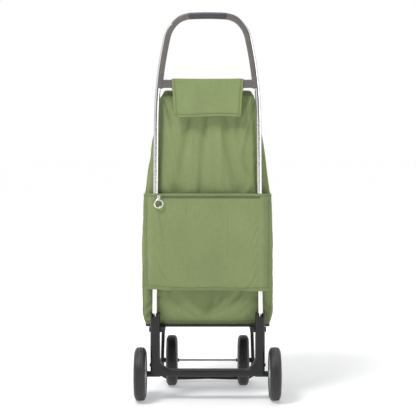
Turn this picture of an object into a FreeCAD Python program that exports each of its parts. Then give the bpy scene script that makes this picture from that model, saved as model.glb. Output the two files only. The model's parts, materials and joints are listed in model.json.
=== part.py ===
import FreeCAD, Part
import math
import os
import Sketcher
from FreeCAD import Vector

# A four-wheeled shopping trolley: an oval aluminium tube bent into a handle, a moulded rear
# chassis with two wheels, a moulded shelf with a folding front wheel frame, and a cloth bag.
# Millimetres. +Z up, +X to the user's right, the user stands on the -Y side.
# Origin: on the floor, midway between the two axles and between the left and right wheels.

doc = FreeCAD.newDocument("shopping_trolley")
sheet = doc.addObject("Spreadsheet::Sheet", "size")
PARTS = []

SIZES = [
    # wheels and axles
    ("wheel_base", 200, "distance between the rear and the front axle"),
    ("wheel_radius", 73, "tyre outer radius, and the height of both axles"),
    ("tyre_width", 31, "tyre width"),
    ("tyre_height", 18, "tyre section height over the rim"),
    ("tyre_round", 9, "rounding of the tread shoulders"),
    ("rim_wall", 5, "rim barrel thickness"),
    ("rim_half_width", 12.5, "half the width of the rim barrel"),
    ("web_inner", 9, "wheel web's inner face, from the wheel's middle plane"),
    ("web_thick", 4, "wheel web thickness"),
    ("hub_radius", 12, "wheel hub radius"),
    ("hub_inner", 17, "hub length inboard of the wheel's middle plane"),
    ("hub_outer", 8, "hub length outboard of the wheel's middle plane"),
    ("rear_track_half", 184, "rear wheel's middle plane from the centre plane"),
    ("rear_axle_radius", 4, "rear axle radius"),
    ("front_axle_radius", 3, "front axle radius"),
    ("running_gap", 0.06, "radial clearance of a turning fit"),
    ("side_gap", 0.5, "end clearance beside a turning piece"),
    ("retainer_radius", 7, "push-on retainer radius"),
    ("retainer_thick", 3, "push-on retainer thickness"),
    ("axle_proud", 0.5, "axle end past its retainer"),
    ("cap_radius", 16, "hub cap radius"),
    ("cap_wall", 1.5, "hub cap wall"),
    # frame tube
    ("tube_width", 14, "oval tube, across the trolley"),
    ("tube_depth", 22, "oval tube, front to back"),
    ("tube_wall", 1.4, "oval tube wall"),
    ("tube_foot", 106, "height of the tube's lower ends"),
    ("tube_foot_half", 145.2, "tube centre from the centre plane at its lower ends"),
    ("handle_top", 1055.5, "height of the hand grip's top"),
    ("tube_lean", 0.6, "inward lean of the straight tube, degrees"),
    ("side_turn", 12.1, "turn of the long side bend, degrees"),
    ("side_radius", 1084, "radius of the long side bend"),
    ("corner_turn", 74.4, "turn of the tight corner bend, degrees"),
    ("corner_radius", 72.8, "radius of the tight corner bend"),
    # handle mouldings
    ("grip_thick", 18, "hand grip, top to bottom"),
    ("grip_depth", 27, "hand grip, front to back"),
    ("grip_half", 54, "half the hand grip's length"),
    ("grip_gap", 0.3, "gap between the hand grip and the handle shells"),
    ("wrap_half", 92, "half the length over which the shells wrap the whole tube"),
    ("shell_inset", 12, "shell depth inward from the tube's centre line"),
    ("shell_depth", 26, "handle shells together, front to back"),
    ("crossbar_top", 875, "height of the crossbar's upper face"),
    ("crossbar_height", 22, "crossbar height"),
    ("crossbar_depth", 20, "crossbar, front to back"),
    ("lug_drop", 4, "lug below the crossbar at each tube"),
    ("screw_radius", 1.6, "handle screw shank radius"),
    ("screw_head_radius", 3.2, "handle screw head radius"),
    ("screw_head_height", 2, "handle screw head height"),
    ("screw_pitch", 36, "spacing of the crossbar screws"),
    # rear chassis
    ("post_width", 26, "post, across the trolley"),
    ("post_depth", 27, "post, front to back"),
    ("post_shift", 2, "post's middle inward of the tube it holds"),
    ("post_top", 241, "height of the socket mouths"),
    ("beam_bottom", 68, "height of the beam's lower face"),
    ("beam_height", 19, "beam height"),
    ("beam_corner", 33, "inner corner radius between a post and the beam"),
    ("chassis_round", 6, "rounding of the chassis's long edges"),
    ("notch_depth", 13, "depth of the notches in a socket mouth"),
    ("notch_half", 4, "half the width of a socket mouth notch"),
    ("notch_land", 1, "peak left between two notches"),
    ("socket_gap", 0.15, "clearance between the tube and its socket"),
    ("stub_radius", 8, "axle stub radius"),
    ("rivet_height", 98, "height of the tube rivets"),
    ("rivet_radius", 4.5, "tube rivet head radius"),
    ("rivet_shank", 2.5, "tube rivet shank radius"),
    ("rivet_head", 2.5, "tube rivet head height"),
    # shelf under the bag
    ("shelf_top", 204, "height of the shelf's upper face"),
    ("shelf_thick", 3.5, "shelf plate thickness"),
    ("shelf_half", 122, "half the shelf's width"),
    ("front_inset", 18.5, "front wheel's middle plane inside the shelf's edge"),
    ("front_track_half", "=shelf_half - front_inset",
     "front wheel's middle plane from the centre plane"),
    ("shelf_front", 104, "shelf's front edge, ahead of the origin"),
    ("shelf_setback", 16, "shelf plate's rear edge, ahead of the tube plane"),
    ("rail_width", 6, "shelf side rail thickness"),
    ("rail_height", 13, "shelf side rail height"),
    ("knuckle_radius", 8, "rail knuckle radius beside the post"),
    ("knuckle_gap", 0.2, "gap between a rail knuckle and its post"),
    ("shelf_pin_radius", 4, "shelf pin radius"),
    ("shelf_pin_cap", 7, "shelf pin head radius"),
    ("shelf_pin_head", 3.5, "shelf pin head height"),
    # folding front wheel frame
    ("fold_setback", 10, "fold pivot behind the front axle"),
    ("fold_height", 188.5, "height of the fold pivot"),
    ("ear_radius", 10.5, "radius of the ears around the fold pivot"),
    ("ear_thick", 11.5, "thickness of a leg's ear"),
    ("leg_top_gap", 0.6, "gap between a shelf rail and a leg's ear"),
    ("leg_thick", 9.5, "leg, across the trolley"),
    ("leg_splay", 4, "outward step of a leg between its ear and the axle"),
    ("leg_depth", 16, "leg, front to back"),
    ("leg_offset", 4, "leg's middle behind the front axle"),
    ("leg_round", 2.5, "rounding of the legs' and the foot loop's long edges"),
    ("eye_radius", 9.5, "radius of a leg's eye around the front axle"),
    ("foot_lean", 41, "forward lean of the foot loop, degrees"),
    ("foot_reach", 89, "foot loop's length from the axle to its far side"),
    ("foot_height", 10, "foot bar's width in the loop's plane"),
    ("foot_depth", 9, "foot loop thickness"),
    ("foot_arch", 3.5, "rise of the foot bar's far edge at the middle"),
    ("foot_arch_half", 68, "half the length of that rise"),
    ("foot_corner", 16, "outer corner between a leg and the foot bar"),
    ("boss_radius", 7, "axle boss radius on a leg"),
    ("fold_pin_radius", 4, "fold pin radius"),
    ("fold_pin_reach", 5, "fold pin length inside a leg's ear"),
    ("collar_radius", 5, "front axle collar radius"),
    ("collar_length", 3.5, "front axle collar length"),
    ("axle_cap", 2, "front axle end cap length"),
    ("button_radius", 6.8, "fold lock button radius"),
    ("button_gap", 0.3, "clearance around a fold lock button"),
    ("button_length", 6, "fold lock button length"),
    ("button_proud", 3.2, "fold lock button outside its ear"),
    # cloth bag
    ("cloth", 2.5, "cloth thickness, doubled at its hems"),
    ("bag_bottom", 204.5, "height of the bag's underside"),
    ("bag_gap", 3, "bag's rear panel ahead of the tubes"),
    ("bag_base_half", 168, "half the bag's width at its base"),
    ("bag_half", 181, "half the bag's width where it is widest"),
    ("bag_top_half", 119, "half the bag's width at its top"),
    ("bag_base_depth", 226, "bag's depth at its base"),
    ("bag_depth", 240, "bag's depth where it is deepest"),
    ("bag_top_depth", 205, "bag's depth at its top"),
    ("bag_panel_top", 845, "height of the rear panel's top edge"),
    ("mouth_rear", 833, "height of the mouth at the rear"),
    ("mouth_front", 790, "height of the mouth at the front"),
    ("bag_rear_corner", 14, "radius of the bag's rear corners"),
    ("bag_front_corner", 45, "radius of the bag's front corners"),
    ("board_thick", 3, "base board thickness"),
    ("board_margin", 6, "gap between the base board and the bag's sides"),
    ("board_gap", 0.3, "gap under the base board"),
    ("flap_top_half", 97, "half the hanging flap's width at its top"),
    ("flap_low_half", 90, "half the hanging flap's width at its lower hem"),
    ("flap_low", 776, "height of the hanging flap's lower hem"),
    ("flap_cloth", 1.8, "hanging flap's cloth thickness"),
    ("flap_gap", 0.8, "gap between the hanging flap and the crossbar"),
    ("flap_inner", 849, "height where the flap's inner leaf ends"),
    ("pocket_low", 306, "height of the pocket's lower seam"),
    ("pocket_high", 568, "height of the pocket's top edge"),
    ("pocket_half", 173, "half the pocket's width"),
    ("pocket_gap", 1, "gap between the tubes and the pocket"),
    ("zip_left", -130, "left end of the zip"),
    ("zip_right", 141, "right end of the zip"),
    ("zip_height", 559, "height of the zip's middle"),
    ("zip_width", 11, "zip tape width"),
    ("zip_thick", 1.4, "zip tape thickness"),
    ("slider_width", 9, "zip slider length along the zip"),
    ("slider_height", 10, "zip slider height"),
    ("slider_thick", 4, "zip slider thickness"),
    ("slider_place", -132, "zip slider's middle at rest"),
    ("slider_gap", 0.3, "gap between the zip tape and its slider"),
    ("eye_thick", 1.8, "slider eye thickness"),
    ("eye_wall", 1, "slider eye wall around the pull ring"),
    ("ring_radius", 11.2, "pull ring radius to the wire's middle"),
    ("ring_wire", 2.1, "pull ring wire radius"),
    ("ring_gap", 0.5, "clearance around the pull ring's wire"),
    ("lid_gap", 2, "gap between the mouth and the lid"),
    ("lid_rear_gap", 1, "gap between the rear panel and the lid's rear edge"),
    ("lid_drop", 105, "length of the lid's front skirt"),
    ("lid_overhang", 5, "gap between the bag's front and the lid's skirt"),
    ("lid_rear_half", 113, "half the lid's width at its hinge seam"),
    ("lid_front_half", 131, "half the lid's width at its front"),
    ("stud_radius", 8, "press stud radius"),
    ("stud_thick", 2, "press stud thickness"),
    ("lid_cord", 0.9, "radius of the cord in the lid's hinge seam"),
]

for row, (alias, value, note) in enumerate(SIZES, start=1):
    sheet.set(f"A{row}", alias)
    sheet.set(f"B{row}", str(value))
    sheet.set(f"C{row}", note)
    sheet.setAlias(f"B{row}", alias)
doc.recompute()


def val(alias):
    """A size from the sheet."""
    return float(sheet.get(alias))


# Places that several pieces share, as sheet expressions and as numbers.
REAR = "-size.wheel_base / 2"
FRONT = "size.wheel_base / 2"
rear_y = -val("wheel_base") / 2
front_y = val("wheel_base") / 2


def keep(obj, label):
    """Name a finished sub-part and list it for export."""
    obj.Label = label
    PARTS.append(obj)
    return obj


def bind(obj, expressions):
    """Tie an object's properties to the sheet."""
    for prop, expression in expressions.items():
        obj.setExpression(prop, expression)
    return obj


def place(obj, x="0", y="0", z="0"):
    """Tie an object's place to the sheet."""
    return bind(obj, {"Placement.Base.x": x, "Placement.Base.y": y, "Placement.Base.z": z})


def block(name, x, y, z, length, width, height):
    """A box whose low corner and sizes are sheet expressions."""
    box = doc.addObject("Part::Box", name)
    bind(box, {"Length": length, "Width": width, "Height": height})
    return place(box, x, y, z)


def rod(name, radius, low, high, y, z):
    """A round rod along X between two places."""
    cylinder = doc.addObject("Part::Cylinder", name)
    bind(cylinder, {"Radius": radius, "Height": f"({high}) - ({low})"})
    cylinder.Placement.Rotation = FreeCAD.Rotation(Vector(0, 1, 0), 90)
    return place(cylinder, low, y, z)


def side_rod(name, side, radius, low, high, y, z):
    """A round rod along X on one side: low and high are distances from the centre plane."""
    if side > 0:
        return rod(name, radius, low, high, y, z)
    return rod(name, radius, f"-({high})", f"-({low})", y, z)


def side_block(name, side, low, high, y, z, width, height):
    """A box on one side: low and high are distances from the centre plane."""
    start = low if side > 0 else f"-({high})"
    return block(name, start, y, z, f"({high}) - ({low})", width, height)


def fuse(name, shapes):
    """Several objects joined into one solid, one after another."""
    whole = shapes[0]
    for number, shape in enumerate(shapes[1:], start=1):
        joined = doc.addObject("Part::Fuse", f"{name}_{number}")
        joined.Base = whole
        joined.Tool = shape
        whole = joined
    return whole


def cut(name, base, tool):
    """One object cut by another."""
    result = doc.addObject("Part::Cut", name)
    result.Base = base
    result.Tool = tool
    return result


def group(name, shapes):
    """Separate solids that share one node."""
    compound = doc.addObject("Part::Compound", name)
    compound.Links = shapes
    return compound


def raw(name, shape):
    """A shape made by hand, as an object."""
    feature = doc.addObject("Part::Feature", name)
    feature.Shape = shape
    return feature


def outline(body, plane, corners):
    """A closed outline on an origin plane, each corner a pair of sheet expressions."""
    sketch = body.newObject("Sketcher::SketchObject", body.Name + "_outline")
    support = [o for o in body.Origin.OriginFeatures if o.Role == plane][0]
    sketch.AttachmentSupport = (support, [""])
    sketch.MapMode = "FlatFace"
    count = len(corners)
    ring = [Vector(100 * math.cos(2 * math.pi * i / count), 100 * math.sin(2 * math.pi * i / count), 0)
            for i in range(count)]
    for i in range(count):
        sketch.addGeometry(Part.LineSegment(ring[i], ring[(i + 1) % count]), False)
    for i in range(count):
        sketch.addConstraint(Sketcher.Constraint("Coincident", i, 2, (i + 1) % count, 1))
    for i, (across, up) in enumerate(corners):
        for kind, expression, now in (("DistanceX", across, ring[i].x), ("DistanceY", up, ring[i].y)):
            number = sketch.addConstraint(Sketcher.Constraint(kind, -1, 1, i, 1, now))
            sketch.setExpression(f"Constraints[{number}]", expression)
    return sketch


def turned(name, corners):
    """A body turned about the X axis from an outline of (along X, radius) corners."""
    body = doc.addObject("PartDesign::Body", name)
    sketch = outline(body, "XZ_Plane", corners)
    turn = body.newObject("PartDesign::Revolution", name + "_turn")
    turn.Profile = sketch
    turn.ReferenceAxis = (sketch, ["H_Axis"])
    turn.Angle = 360
    return body


def padded(name, plane, corners, length):
    """A body padded evenly to both sides of an origin plane."""
    body = doc.addObject("PartDesign::Body", name)
    sketch = outline(body, plane, corners)
    pad = body.newObject("PartDesign::Pad", name + "_pad")
    pad.Profile = sketch
    pad.SideType = "Symmetric"
    pad.setExpression("Length", length)
    return body


def rounded(body, radius, chosen):
    """Fillet the edges of the body's last feature that a test picks."""
    doc.recompute()
    base = body.Tip
    names = [f"Edge{i}" for i, edge in enumerate(base.Shape.Edges, start=1) if chosen(edge)]
    fillet = body.newObject("PartDesign::Fillet", body.Name + "_round")
    fillet.Base = (base, names)
    fillet.setExpression("Radius", radius)
    return body


def runs_along(edge, axis):
    """True for a straight edge along the axis."""
    if edge.Curve.TypeId != "Part::GeomLine":
        return False
    return abs(edge.tangentAt(edge.FirstParameter).dot(axis)) > 0.999


def middle(edge):
    """The middle point of an edge."""
    return edge.valueAt((edge.FirstParameter + edge.LastParameter) / 2)


# ---- wheels ---------------------------------------------------------------------------------

def wheel(name, side, centre, track, axle_radius, capped):
    """A tyre, its disc, and on a rear wheel its hub cap; the closed web faces inboard."""
    out = "" if side > 0 else "-"
    x = f"{out}size.{track}"
    z = "size.wheel_radius"
    half = "size.tyre_width / 2"
    seat = "(size.wheel_radius - size.tyre_height)"
    tyre = turned(f"tyre_{name}", [
        (f"-{half}", seat), (f"-{half}", "size.wheel_radius"),
        (half, "size.wheel_radius"), (half, seat)])
    top = val("wheel_radius")
    rounded(tyre, "size.tyre_round", lambda e: abs(e.Curve.Radius - top) < 0.01
            if e.Curve.TypeId == "Part::GeomCircle" else False)
    keep(place(tyre, x, centre, z), f"tyre_{name}")

    def u(expression):
        """A place along the axle, outboard positive."""
        return f"{out}({expression})"

    bore = f"(size.{axle_radius} + size.running_gap)"
    rim_in = f"({seat} - size.rim_wall)"
    disc = turned(f"disc_{name}", [
        (u("-size.hub_inner"), bore),
        (u("size.hub_outer"), bore),
        (u("size.hub_outer"), "size.hub_radius"),
        (u("size.web_thick - size.web_inner"), "size.hub_radius"),
        (u("size.web_thick - size.web_inner"), rim_in),
        (u("size.rim_half_width"), rim_in),
        (u("size.rim_half_width"), seat),
        (u("-size.rim_half_width"), seat),
        (u("-size.rim_half_width"), rim_in),
        (u("-size.web_inner"), rim_in),
        (u("-size.web_inner"), "size.hub_radius"),
        (u("-size.hub_inner"), "size.hub_radius")])
    keep(place(disc, x, centre, z), f"disc_{name}")
    if not capped:
        return
    end = "size.tyre_width / 2"
    cap = turned(f"cap_{name}", [
        (u("size.hub_outer"), "size.cap_radius"),
        (u(f"{end} - 2 * size.cap_wall"), "size.cap_radius"),
        (u(end), "size.cap_radius - 3 * size.cap_wall"),
        (u(end), "0"),
        (u(f"{end} - size.cap_wall"), "0"),
        (u(f"{end} - size.cap_wall"), "size.cap_radius - 3 * size.cap_wall - 1"),
        (u(f"{end} - 2 * size.cap_wall - 1"), "size.cap_radius - size.cap_wall"),
        (u("size.hub_outer"), "size.cap_radius - size.cap_wall")])
    keep(place(cap, x, centre, z), f"cap_{name}")


WHEELS = [("rear_left", -1, REAR, "rear_track_half", "rear_axle_radius", True),
          ("rear_right", 1, REAR, "rear_track_half", "rear_axle_radius", True),
          ("front_left", -1, FRONT, "front_track_half", "front_axle_radius", False),
          ("front_right", 1, FRONT, "front_track_half", "front_axle_radius", False)]
for wheel_sizes in WHEELS:
    wheel(*wheel_sizes)

AXLE_Z = "size.wheel_radius"
hub_end = "size.rear_track_half + size.hub_outer"
retainer_start = f"{hub_end} + size.side_gap"
retainer_end = f"{retainer_start} + size.retainer_thick"
axle_end = f"{retainer_end} + size.axle_proud"
rear_axle = rod("rear_axle", "size.rear_axle_radius", f"-({axle_end})", axle_end, REAR, AXLE_Z)
keep(rear_axle, "rear_axle")


def ring(name, side, radius, bore, low, high, y, z):
    """A plain ring along X on one side."""
    outer = side_rod(name + "_outer", side, radius, low, high, y, z)
    inner = side_rod(name + "_bore", side, bore, f"{low} - 1", f"{high} + 1", y, z)
    return cut(name, outer, inner)


keep(group("axle_retainers", [
    ring(f"retainer_{n}", side, "size.retainer_radius", "size.rear_axle_radius",
         retainer_start, retainer_end, REAR, AXLE_Z)
    for n, side in enumerate((-1, 1))]), "axle_retainers")


# ---- frame tube and handle ------------------------------------------------------------------

def tube_route(foot_z):
    """The tube's centre line, from the left foot over the handle to the right foot."""
    corner_start = math.radians(90 - val("tube_lean") - val("side_turn") - val("corner_turn"))
    side_start = corner_start + math.radians(val("corner_turn"))
    lean_start = side_start + math.radians(val("side_turn"))
    crown_z = val("handle_top") - val("grip_thick") / 2
    corner, side = val("corner_radius"), val("side_radius")
    corner_x = corner * (math.sin(side_start) - math.sin(corner_start))
    side_x = side * (math.sin(lean_start) - math.sin(side_start))
    # The straight legs lean in from the feet, and the crown takes up what width is left.
    crown_turn_drop = math.tan(corner_start / 2)
    corner_z = corner * (math.cos(corner_start) - math.cos(side_start))
    side_z = side * (math.cos(side_start) - math.cos(lean_start))
    lean = math.tan(math.radians(val("tube_lean")))
    fixed = corner_z + side_z + val("tube_foot")
    crown_x = ((val("tube_foot_half") - corner_x - side_x - lean * (crown_z - fixed))
               / (1 - lean * crown_turn_drop))
    crown = crown_x / math.sin(corner_start)
    points = [(0, crown_z)]
    angle, x, z = 0, 0, crown_z
    for radius, end in ((crown, corner_start), (corner, side_start), (side, lean_start)):
        for share in (0.5, 1):
            turn = angle + (end - angle) * share
            points.append((x + radius * (math.sin(turn) - math.sin(angle)),
                           z - radius * (math.cos(angle) - math.cos(turn))))
        angle, (x, z) = end, points[-1]
    points.append((x + lean * (z - foot_z), foot_z))
    return points


def route_wire(points, depth):
    """Arcs and straight legs through one half's points, mirrored into a whole wire."""
    right = [Vector(x, depth, z) for x, z in points]
    left = [Vector(-x, depth, z) for x, z in points]

    def half_edges(p):
        edges = [Part.Arc(p[i], p[i + 1], p[i + 2]).toShape() for i in (0, 2, 4)]
        return edges + [Part.LineSegment(p[6], p[7]).toShape()]

    down = half_edges(right)
    up = [edge for edge in reversed(half_edges(left))]
    return Part.Wire(Part.__sortEdges__(up + down))


def oval(width, depth, centre_x, z):
    """An oval section in a level plane: flat flanks, round front and back."""
    r = width / 2
    flat = depth / 2 - r
    p = [Vector(centre_x - r, rear_y - flat, z), Vector(centre_x - r, rear_y + flat, z),
         Vector(centre_x, rear_y + flat + r, z), Vector(centre_x + r, rear_y + flat, z),
         Vector(centre_x + r, rear_y - flat, z), Vector(centre_x, rear_y - flat - r, z)]
    return Part.Wire([Part.LineSegment(p[0], p[1]).toShape(), Part.Arc(p[1], p[2], p[3]).toShape(),
                      Part.LineSegment(p[3], p[4]).toShape(), Part.Arc(p[4], p[5], p[0]).toShape()])


def swept(route, section):
    """A solid swept along a route."""
    return route.makePipeShell([section], True, False)


def swept_oval(width, depth, foot_z):
    """The tube's outer or inner shape down to a height."""
    points = tube_route(foot_z)
    return swept(route_wire(points, rear_y), oval(width, depth, -points[-1][0], foot_z))


width, depth, wall = val("tube_width"), val("tube_depth"), val("tube_wall")
tube_solid = swept_oval(width, depth, val("tube_foot"))
tube_hollow = swept_oval(width - 2 * wall, depth - 2 * wall, val("tube_foot"))
tube = raw("plain_tube", tube_solid.cut(tube_hollow))


def swept_band(inner, outer, half_depth):
    """A band along the tube's centre line, from one offset inward of it to another outward."""
    points = tube_route(val("tube_foot"))
    x, z = -points[-1][0], val("tube_foot")
    corners = [Vector(x + inner, rear_y - half_depth, z), Vector(x + inner, rear_y + half_depth, z),
               Vector(x - outer, rear_y + half_depth, z), Vector(x - outer, rear_y - half_depth, z)]
    section = Part.makePolygon(corners + corners[:1])
    return swept(route_wire(points, rear_y), section)


def slab(x_low, x_high, z_low, z_high):
    """A box right through the handle's depth, for keeping a stretch of it."""
    size = val("grip_depth") * 2
    return Part.makeBox(x_high - x_low, size, z_high - z_low, Vector(x_low, rear_y - size / 2, z_low))


grip_top = val("handle_top")
wide = val("tube_foot_half") * 2
SPARE = 50  # how far a cutting shape runs past what it cuts
crossbar_low = val("crossbar_top") - val("crossbar_height")
half_shell = val("shell_depth") / 2
half_grip = val("grip_thick") / 2
above = slab(-wide, wide, crossbar_low - val("lug_drop"), grip_top + SPARE)
band = swept_band(val("shell_inset"), 0, half_shell).common(above)
wrap = swept_band(half_grip, half_grip, half_shell).common(
    slab(-val("wrap_half"), val("wrap_half"), crossbar_low, grip_top + SPARE))
bar_half = tube_route(crossbar_low)[-1][0] - val("shell_inset") + 1
crossbar = Part.makeBox(2 * bar_half, val("crossbar_depth"), val("crossbar_height"),
                        Vector(-bar_half, rear_y - val("crossbar_depth") / 2, crossbar_low))
grip_stretch = val("grip_half") + val("grip_gap")
shells = band.fuse(wrap).fuse(crossbar).cut(tube_solid).cut(
    slab(-grip_stretch, grip_stretch, val("crossbar_top") + 1, grip_top + SPARE))

grip_outer = swept_band(half_grip, half_grip, val("grip_depth") / 2).common(
    slab(-val("grip_half"), val("grip_half"), val("crossbar_top") + 1, grip_top + SPARE))
keep(raw("hand_grip", grip_outer.cut(tube_solid)), "hand_grip")

screw_places = [n * val("screw_pitch") for n in (-3, -1, 1, 3)]
screw_z = val("crossbar_top") - val("crossbar_height") / 2
front_face = rear_y + val("crossbar_depth") / 2
screw_reach = val("crossbar_depth") - 4


def screw(x, spare):
    """A crossbar screw, driven from the front, grown by a clearance."""
    head = Part.makeCylinder(val("screw_head_radius") + spare, val("screw_head_height"),
                             Vector(x, front_face - val("screw_head_height"), screw_z),
                             Vector(0, 1, 0))
    shank = Part.makeCylinder(val("screw_radius") + spare, screw_reach,
                              Vector(x, front_face - screw_reach, screw_z), Vector(0, 1, 0))
    return head.fuse(shank)


for x in screw_places:
    shells = shells.cut(screw(x, 0.02))
rear_half = Part.makeBox(2 * wide, wide, 2 * grip_top, Vector(-wide, rear_y - wide, 0))
front_half = Part.makeBox(2 * wide, wide, 2 * grip_top, Vector(-wide, rear_y, 0))
keep(raw("handle_shell_rear", shells.common(rear_half)), "handle_shell_rear")
keep(raw("handle_shell_front", shells.common(front_half)), "handle_shell_front")
keep(raw("handle_screws", Part.makeCompound([screw(x, 0) for x in screw_places])), "handle_screws")


# ---- rear chassis ---------------------------------------------------------------------------

tube_at_post = tube_route(val("tube_foot"))[-1][0]
post_out = "(size.tube_foot_half + size.post_width / 2 - size.post_shift)"
post_in = "(size.tube_foot_half - size.post_width / 2 - size.post_shift)"
beam_top = "(size.beam_bottom + size.beam_height)"
chassis_body = padded("chassis_body", "XZ_Plane", [
    (f"-{post_out}", "size.beam_bottom"), (f"-{post_out}", "size.post_top"),
    (f"-{post_in}", "size.post_top"), (f"-{post_in}", beam_top),
    (post_in, beam_top), (post_in, "size.post_top"),
    (post_out, "size.post_top"), (post_out, "size.beam_bottom")], "size.post_depth")
post_in_x = val("tube_foot_half") - val("post_width") / 2 - val("post_shift")
beam_top_z = val("beam_bottom") + val("beam_height")
depth_axis = Vector(0, 1, 0)
rounded(chassis_body, "size.beam_corner", lambda e: runs_along(e, depth_axis)
        and abs(abs(middle(e).x) - post_in_x) < 0.1 and abs(middle(e).z - beam_top_z) < 0.1)
rounded(chassis_body, "size.chassis_round", lambda e: runs_along(e, depth_axis)
        and abs(middle(e).z - val("beam_bottom")) < 0.1)
face_y = val("post_depth") / 2
rounded(chassis_body, "size.chassis_round", lambda e: abs(abs(middle(e).y) - face_y) < 0.1
        and middle(e).z < val("post_top") - 1)
place(chassis_body, "0", REAR, "0")
stubs = [side_rod(f"axle_stub_{n}", side, "size.stub_radius", post_in,
                  "size.rear_track_half - size.hub_inner - size.side_gap", REAR, AXLE_Z)
         for n, side in enumerate((-1, 1))]
chassis_whole = fuse("chassis_whole", [chassis_body] + stubs)

axle_hole = rod("axle_hole", "size.rear_axle_radius", "-size.rear_track_half",
                "size.rear_track_half", REAR, AXLE_Z)
gap = 2 * val("socket_gap")
socket = raw("socket_hole", swept_oval(width + gap, depth + gap, val("tube_foot") - 1))


def notch(side, offset):
    """A V notch through a socket mouth."""
    x = side * tube_at_post + offset
    z = val("post_top")
    half, deep, low = val("notch_half"), val("notch_depth"), rear_y - val("post_depth")
    corners = [Vector(x - half, low, z + 1), Vector(x + half, low, z + 1), Vector(x, low, z - deep)]
    face = Part.Face(Part.makePolygon(corners + corners[:1]))
    return face.extrude(Vector(0, 2 * val("post_depth"), 0))


notch_step = val("notch_half") + val("notch_land") / 2
notches = raw("notches", Part.makeCompound(
    [notch(side, offset) for side in (-1, 1)
     for offset in (-notch_step, notch_step)]))


def headed_pin(name, side, shank, head, low, face, head_height, y, z):
    """A pin with a round head outside a face."""
    return fuse(name, [side_rod(name + "_shank", side, shank, low, face, y, z),
                       side_rod(name + "_head", side, head, face, f"{face} + {head_height}", y, z)])


rivets = [headed_pin(f"tube_rivet_{n}", side, "size.rivet_shank", "size.rivet_radius",
                     "size.tube_foot_half - size.tube_width", post_out, "size.rivet_head", REAR,
                     "size.rivet_height")
          for n, side in enumerate((-1, 1))]
knuckle_z = "(size.shelf_top - size.knuckle_radius)"
shelf_pins = [headed_pin(f"shelf_pin_{n}", side, "size.shelf_pin_radius", "size.shelf_pin_cap",
                         "size.shelf_half - size.rail_width", post_out, "size.shelf_pin_head",
                         REAR, knuckle_z)
              for n, side in enumerate((-1, 1))]
rivet_group = group("tube_rivets", rivets)
pin_group = group("shelf_pins", shelf_pins)
tube_cut = cut("tube_cut_rivets", tube, rivet_group)
keep(cut("tube_cut_pins", tube_cut, pin_group), "frame_tube")
chassis = chassis_whole
for number, tool in enumerate((axle_hole, socket, notches, rivet_group, pin_group)):
    chassis = cut(f"chassis_cut_{number}", chassis, tool)
keep(chassis, "rear_chassis")
keep(rivet_group, "tube_rivets")


# ---- shelf under the bag --------------------------------------------------------------------

rail_in = "(size.shelf_half - size.rail_width)"
fold_y = f"({FRONT} - size.fold_setback)"
plate_rear = f"({REAR} + size.shelf_setback)"
plate = block("shelf_plate", "-size.shelf_half", plate_rear, "size.shelf_top - size.shelf_thick",
              "2 * size.shelf_half", f"size.shelf_front - {plate_rear}", "size.shelf_thick")
shelf_pieces = [plate]
for side in (-1, 1):
    shelf_pieces.append(side_block(
        "shelf_rail", side, rail_in, "size.shelf_half", REAR, "size.shelf_top - size.rail_height",
        f"{fold_y} - {REAR}", "size.rail_height"))
    shelf_pieces.append(side_rod("shelf_knuckle", side, "size.knuckle_radius", rail_in,
                                 f"{post_in} - size.knuckle_gap", REAR, knuckle_z))
    shelf_pieces.append(side_rod("shelf_ear", side, "size.ear_radius", rail_in,
                                 "size.shelf_half", fold_y, "size.fold_height"))
    shelf_pieces.append(side_block("ear_web", side, rail_in, "size.shelf_half",
                                   f"{fold_y} - size.ear_radius", "size.fold_height",
                                   "2 * size.ear_radius", "size.shelf_top - size.fold_height"))
shelf = fuse("shelf_whole", shelf_pieces)
ear_in = "(size.shelf_half + size.leg_top_gap)"
ear_out = f"({ear_in} + size.ear_thick)"
fold_pins = group("leg_pivot_pins", [
    side_rod("fold_pin", side, "size.fold_pin_radius", rail_in,
             f"{ear_in} + size.fold_pin_reach", fold_y, "size.fold_height")
    for side in (-1, 1)])
shelf = cut("shelf_for_shelf_pins", shelf, pin_group)
shelf = cut("shelf_for_leg_pins", shelf, fold_pins)
keep(shelf, "base_shelf")
keep(pin_group, "shelf_pins")
keep(fold_pins, "leg_pivot_pins")


# ---- folding front wheel frame --------------------------------------------------------------

leg_mid = f"({FRONT} - size.leg_offset)"
leg_in = f"({ear_in} + size.leg_splay)"
leg_out_top = f"({ear_in} + size.leg_thick)"
leg_out = f"({leg_in} + size.leg_thick)"
side_face = val("leg_depth") / 2


def upper_leg(side):
    """A leg between the fold pivot and the axle, stepping outward as it goes down."""
    corners = [(ear_in, "size.fold_height"), (leg_out_top, "size.fold_height"),
               (leg_out, "size.wheel_radius"), (leg_in, "size.wheel_radius")]
    if side < 0:
        corners = [(f"-({x})", z) for x, z in corners]
    leg = padded("upper_leg", "XZ_Plane", corners, "size.leg_depth")
    rounded(leg, "size.leg_round", lambda e: abs(abs(middle(e).y) - side_face) < 0.1
            and abs(abs(middle(e).x) - val("shelf_half")) > 1
            and val("wheel_radius") + 1 < middle(e).z < val("fold_height") - 1)
    return place(leg, "0", leg_mid, "0")


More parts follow.
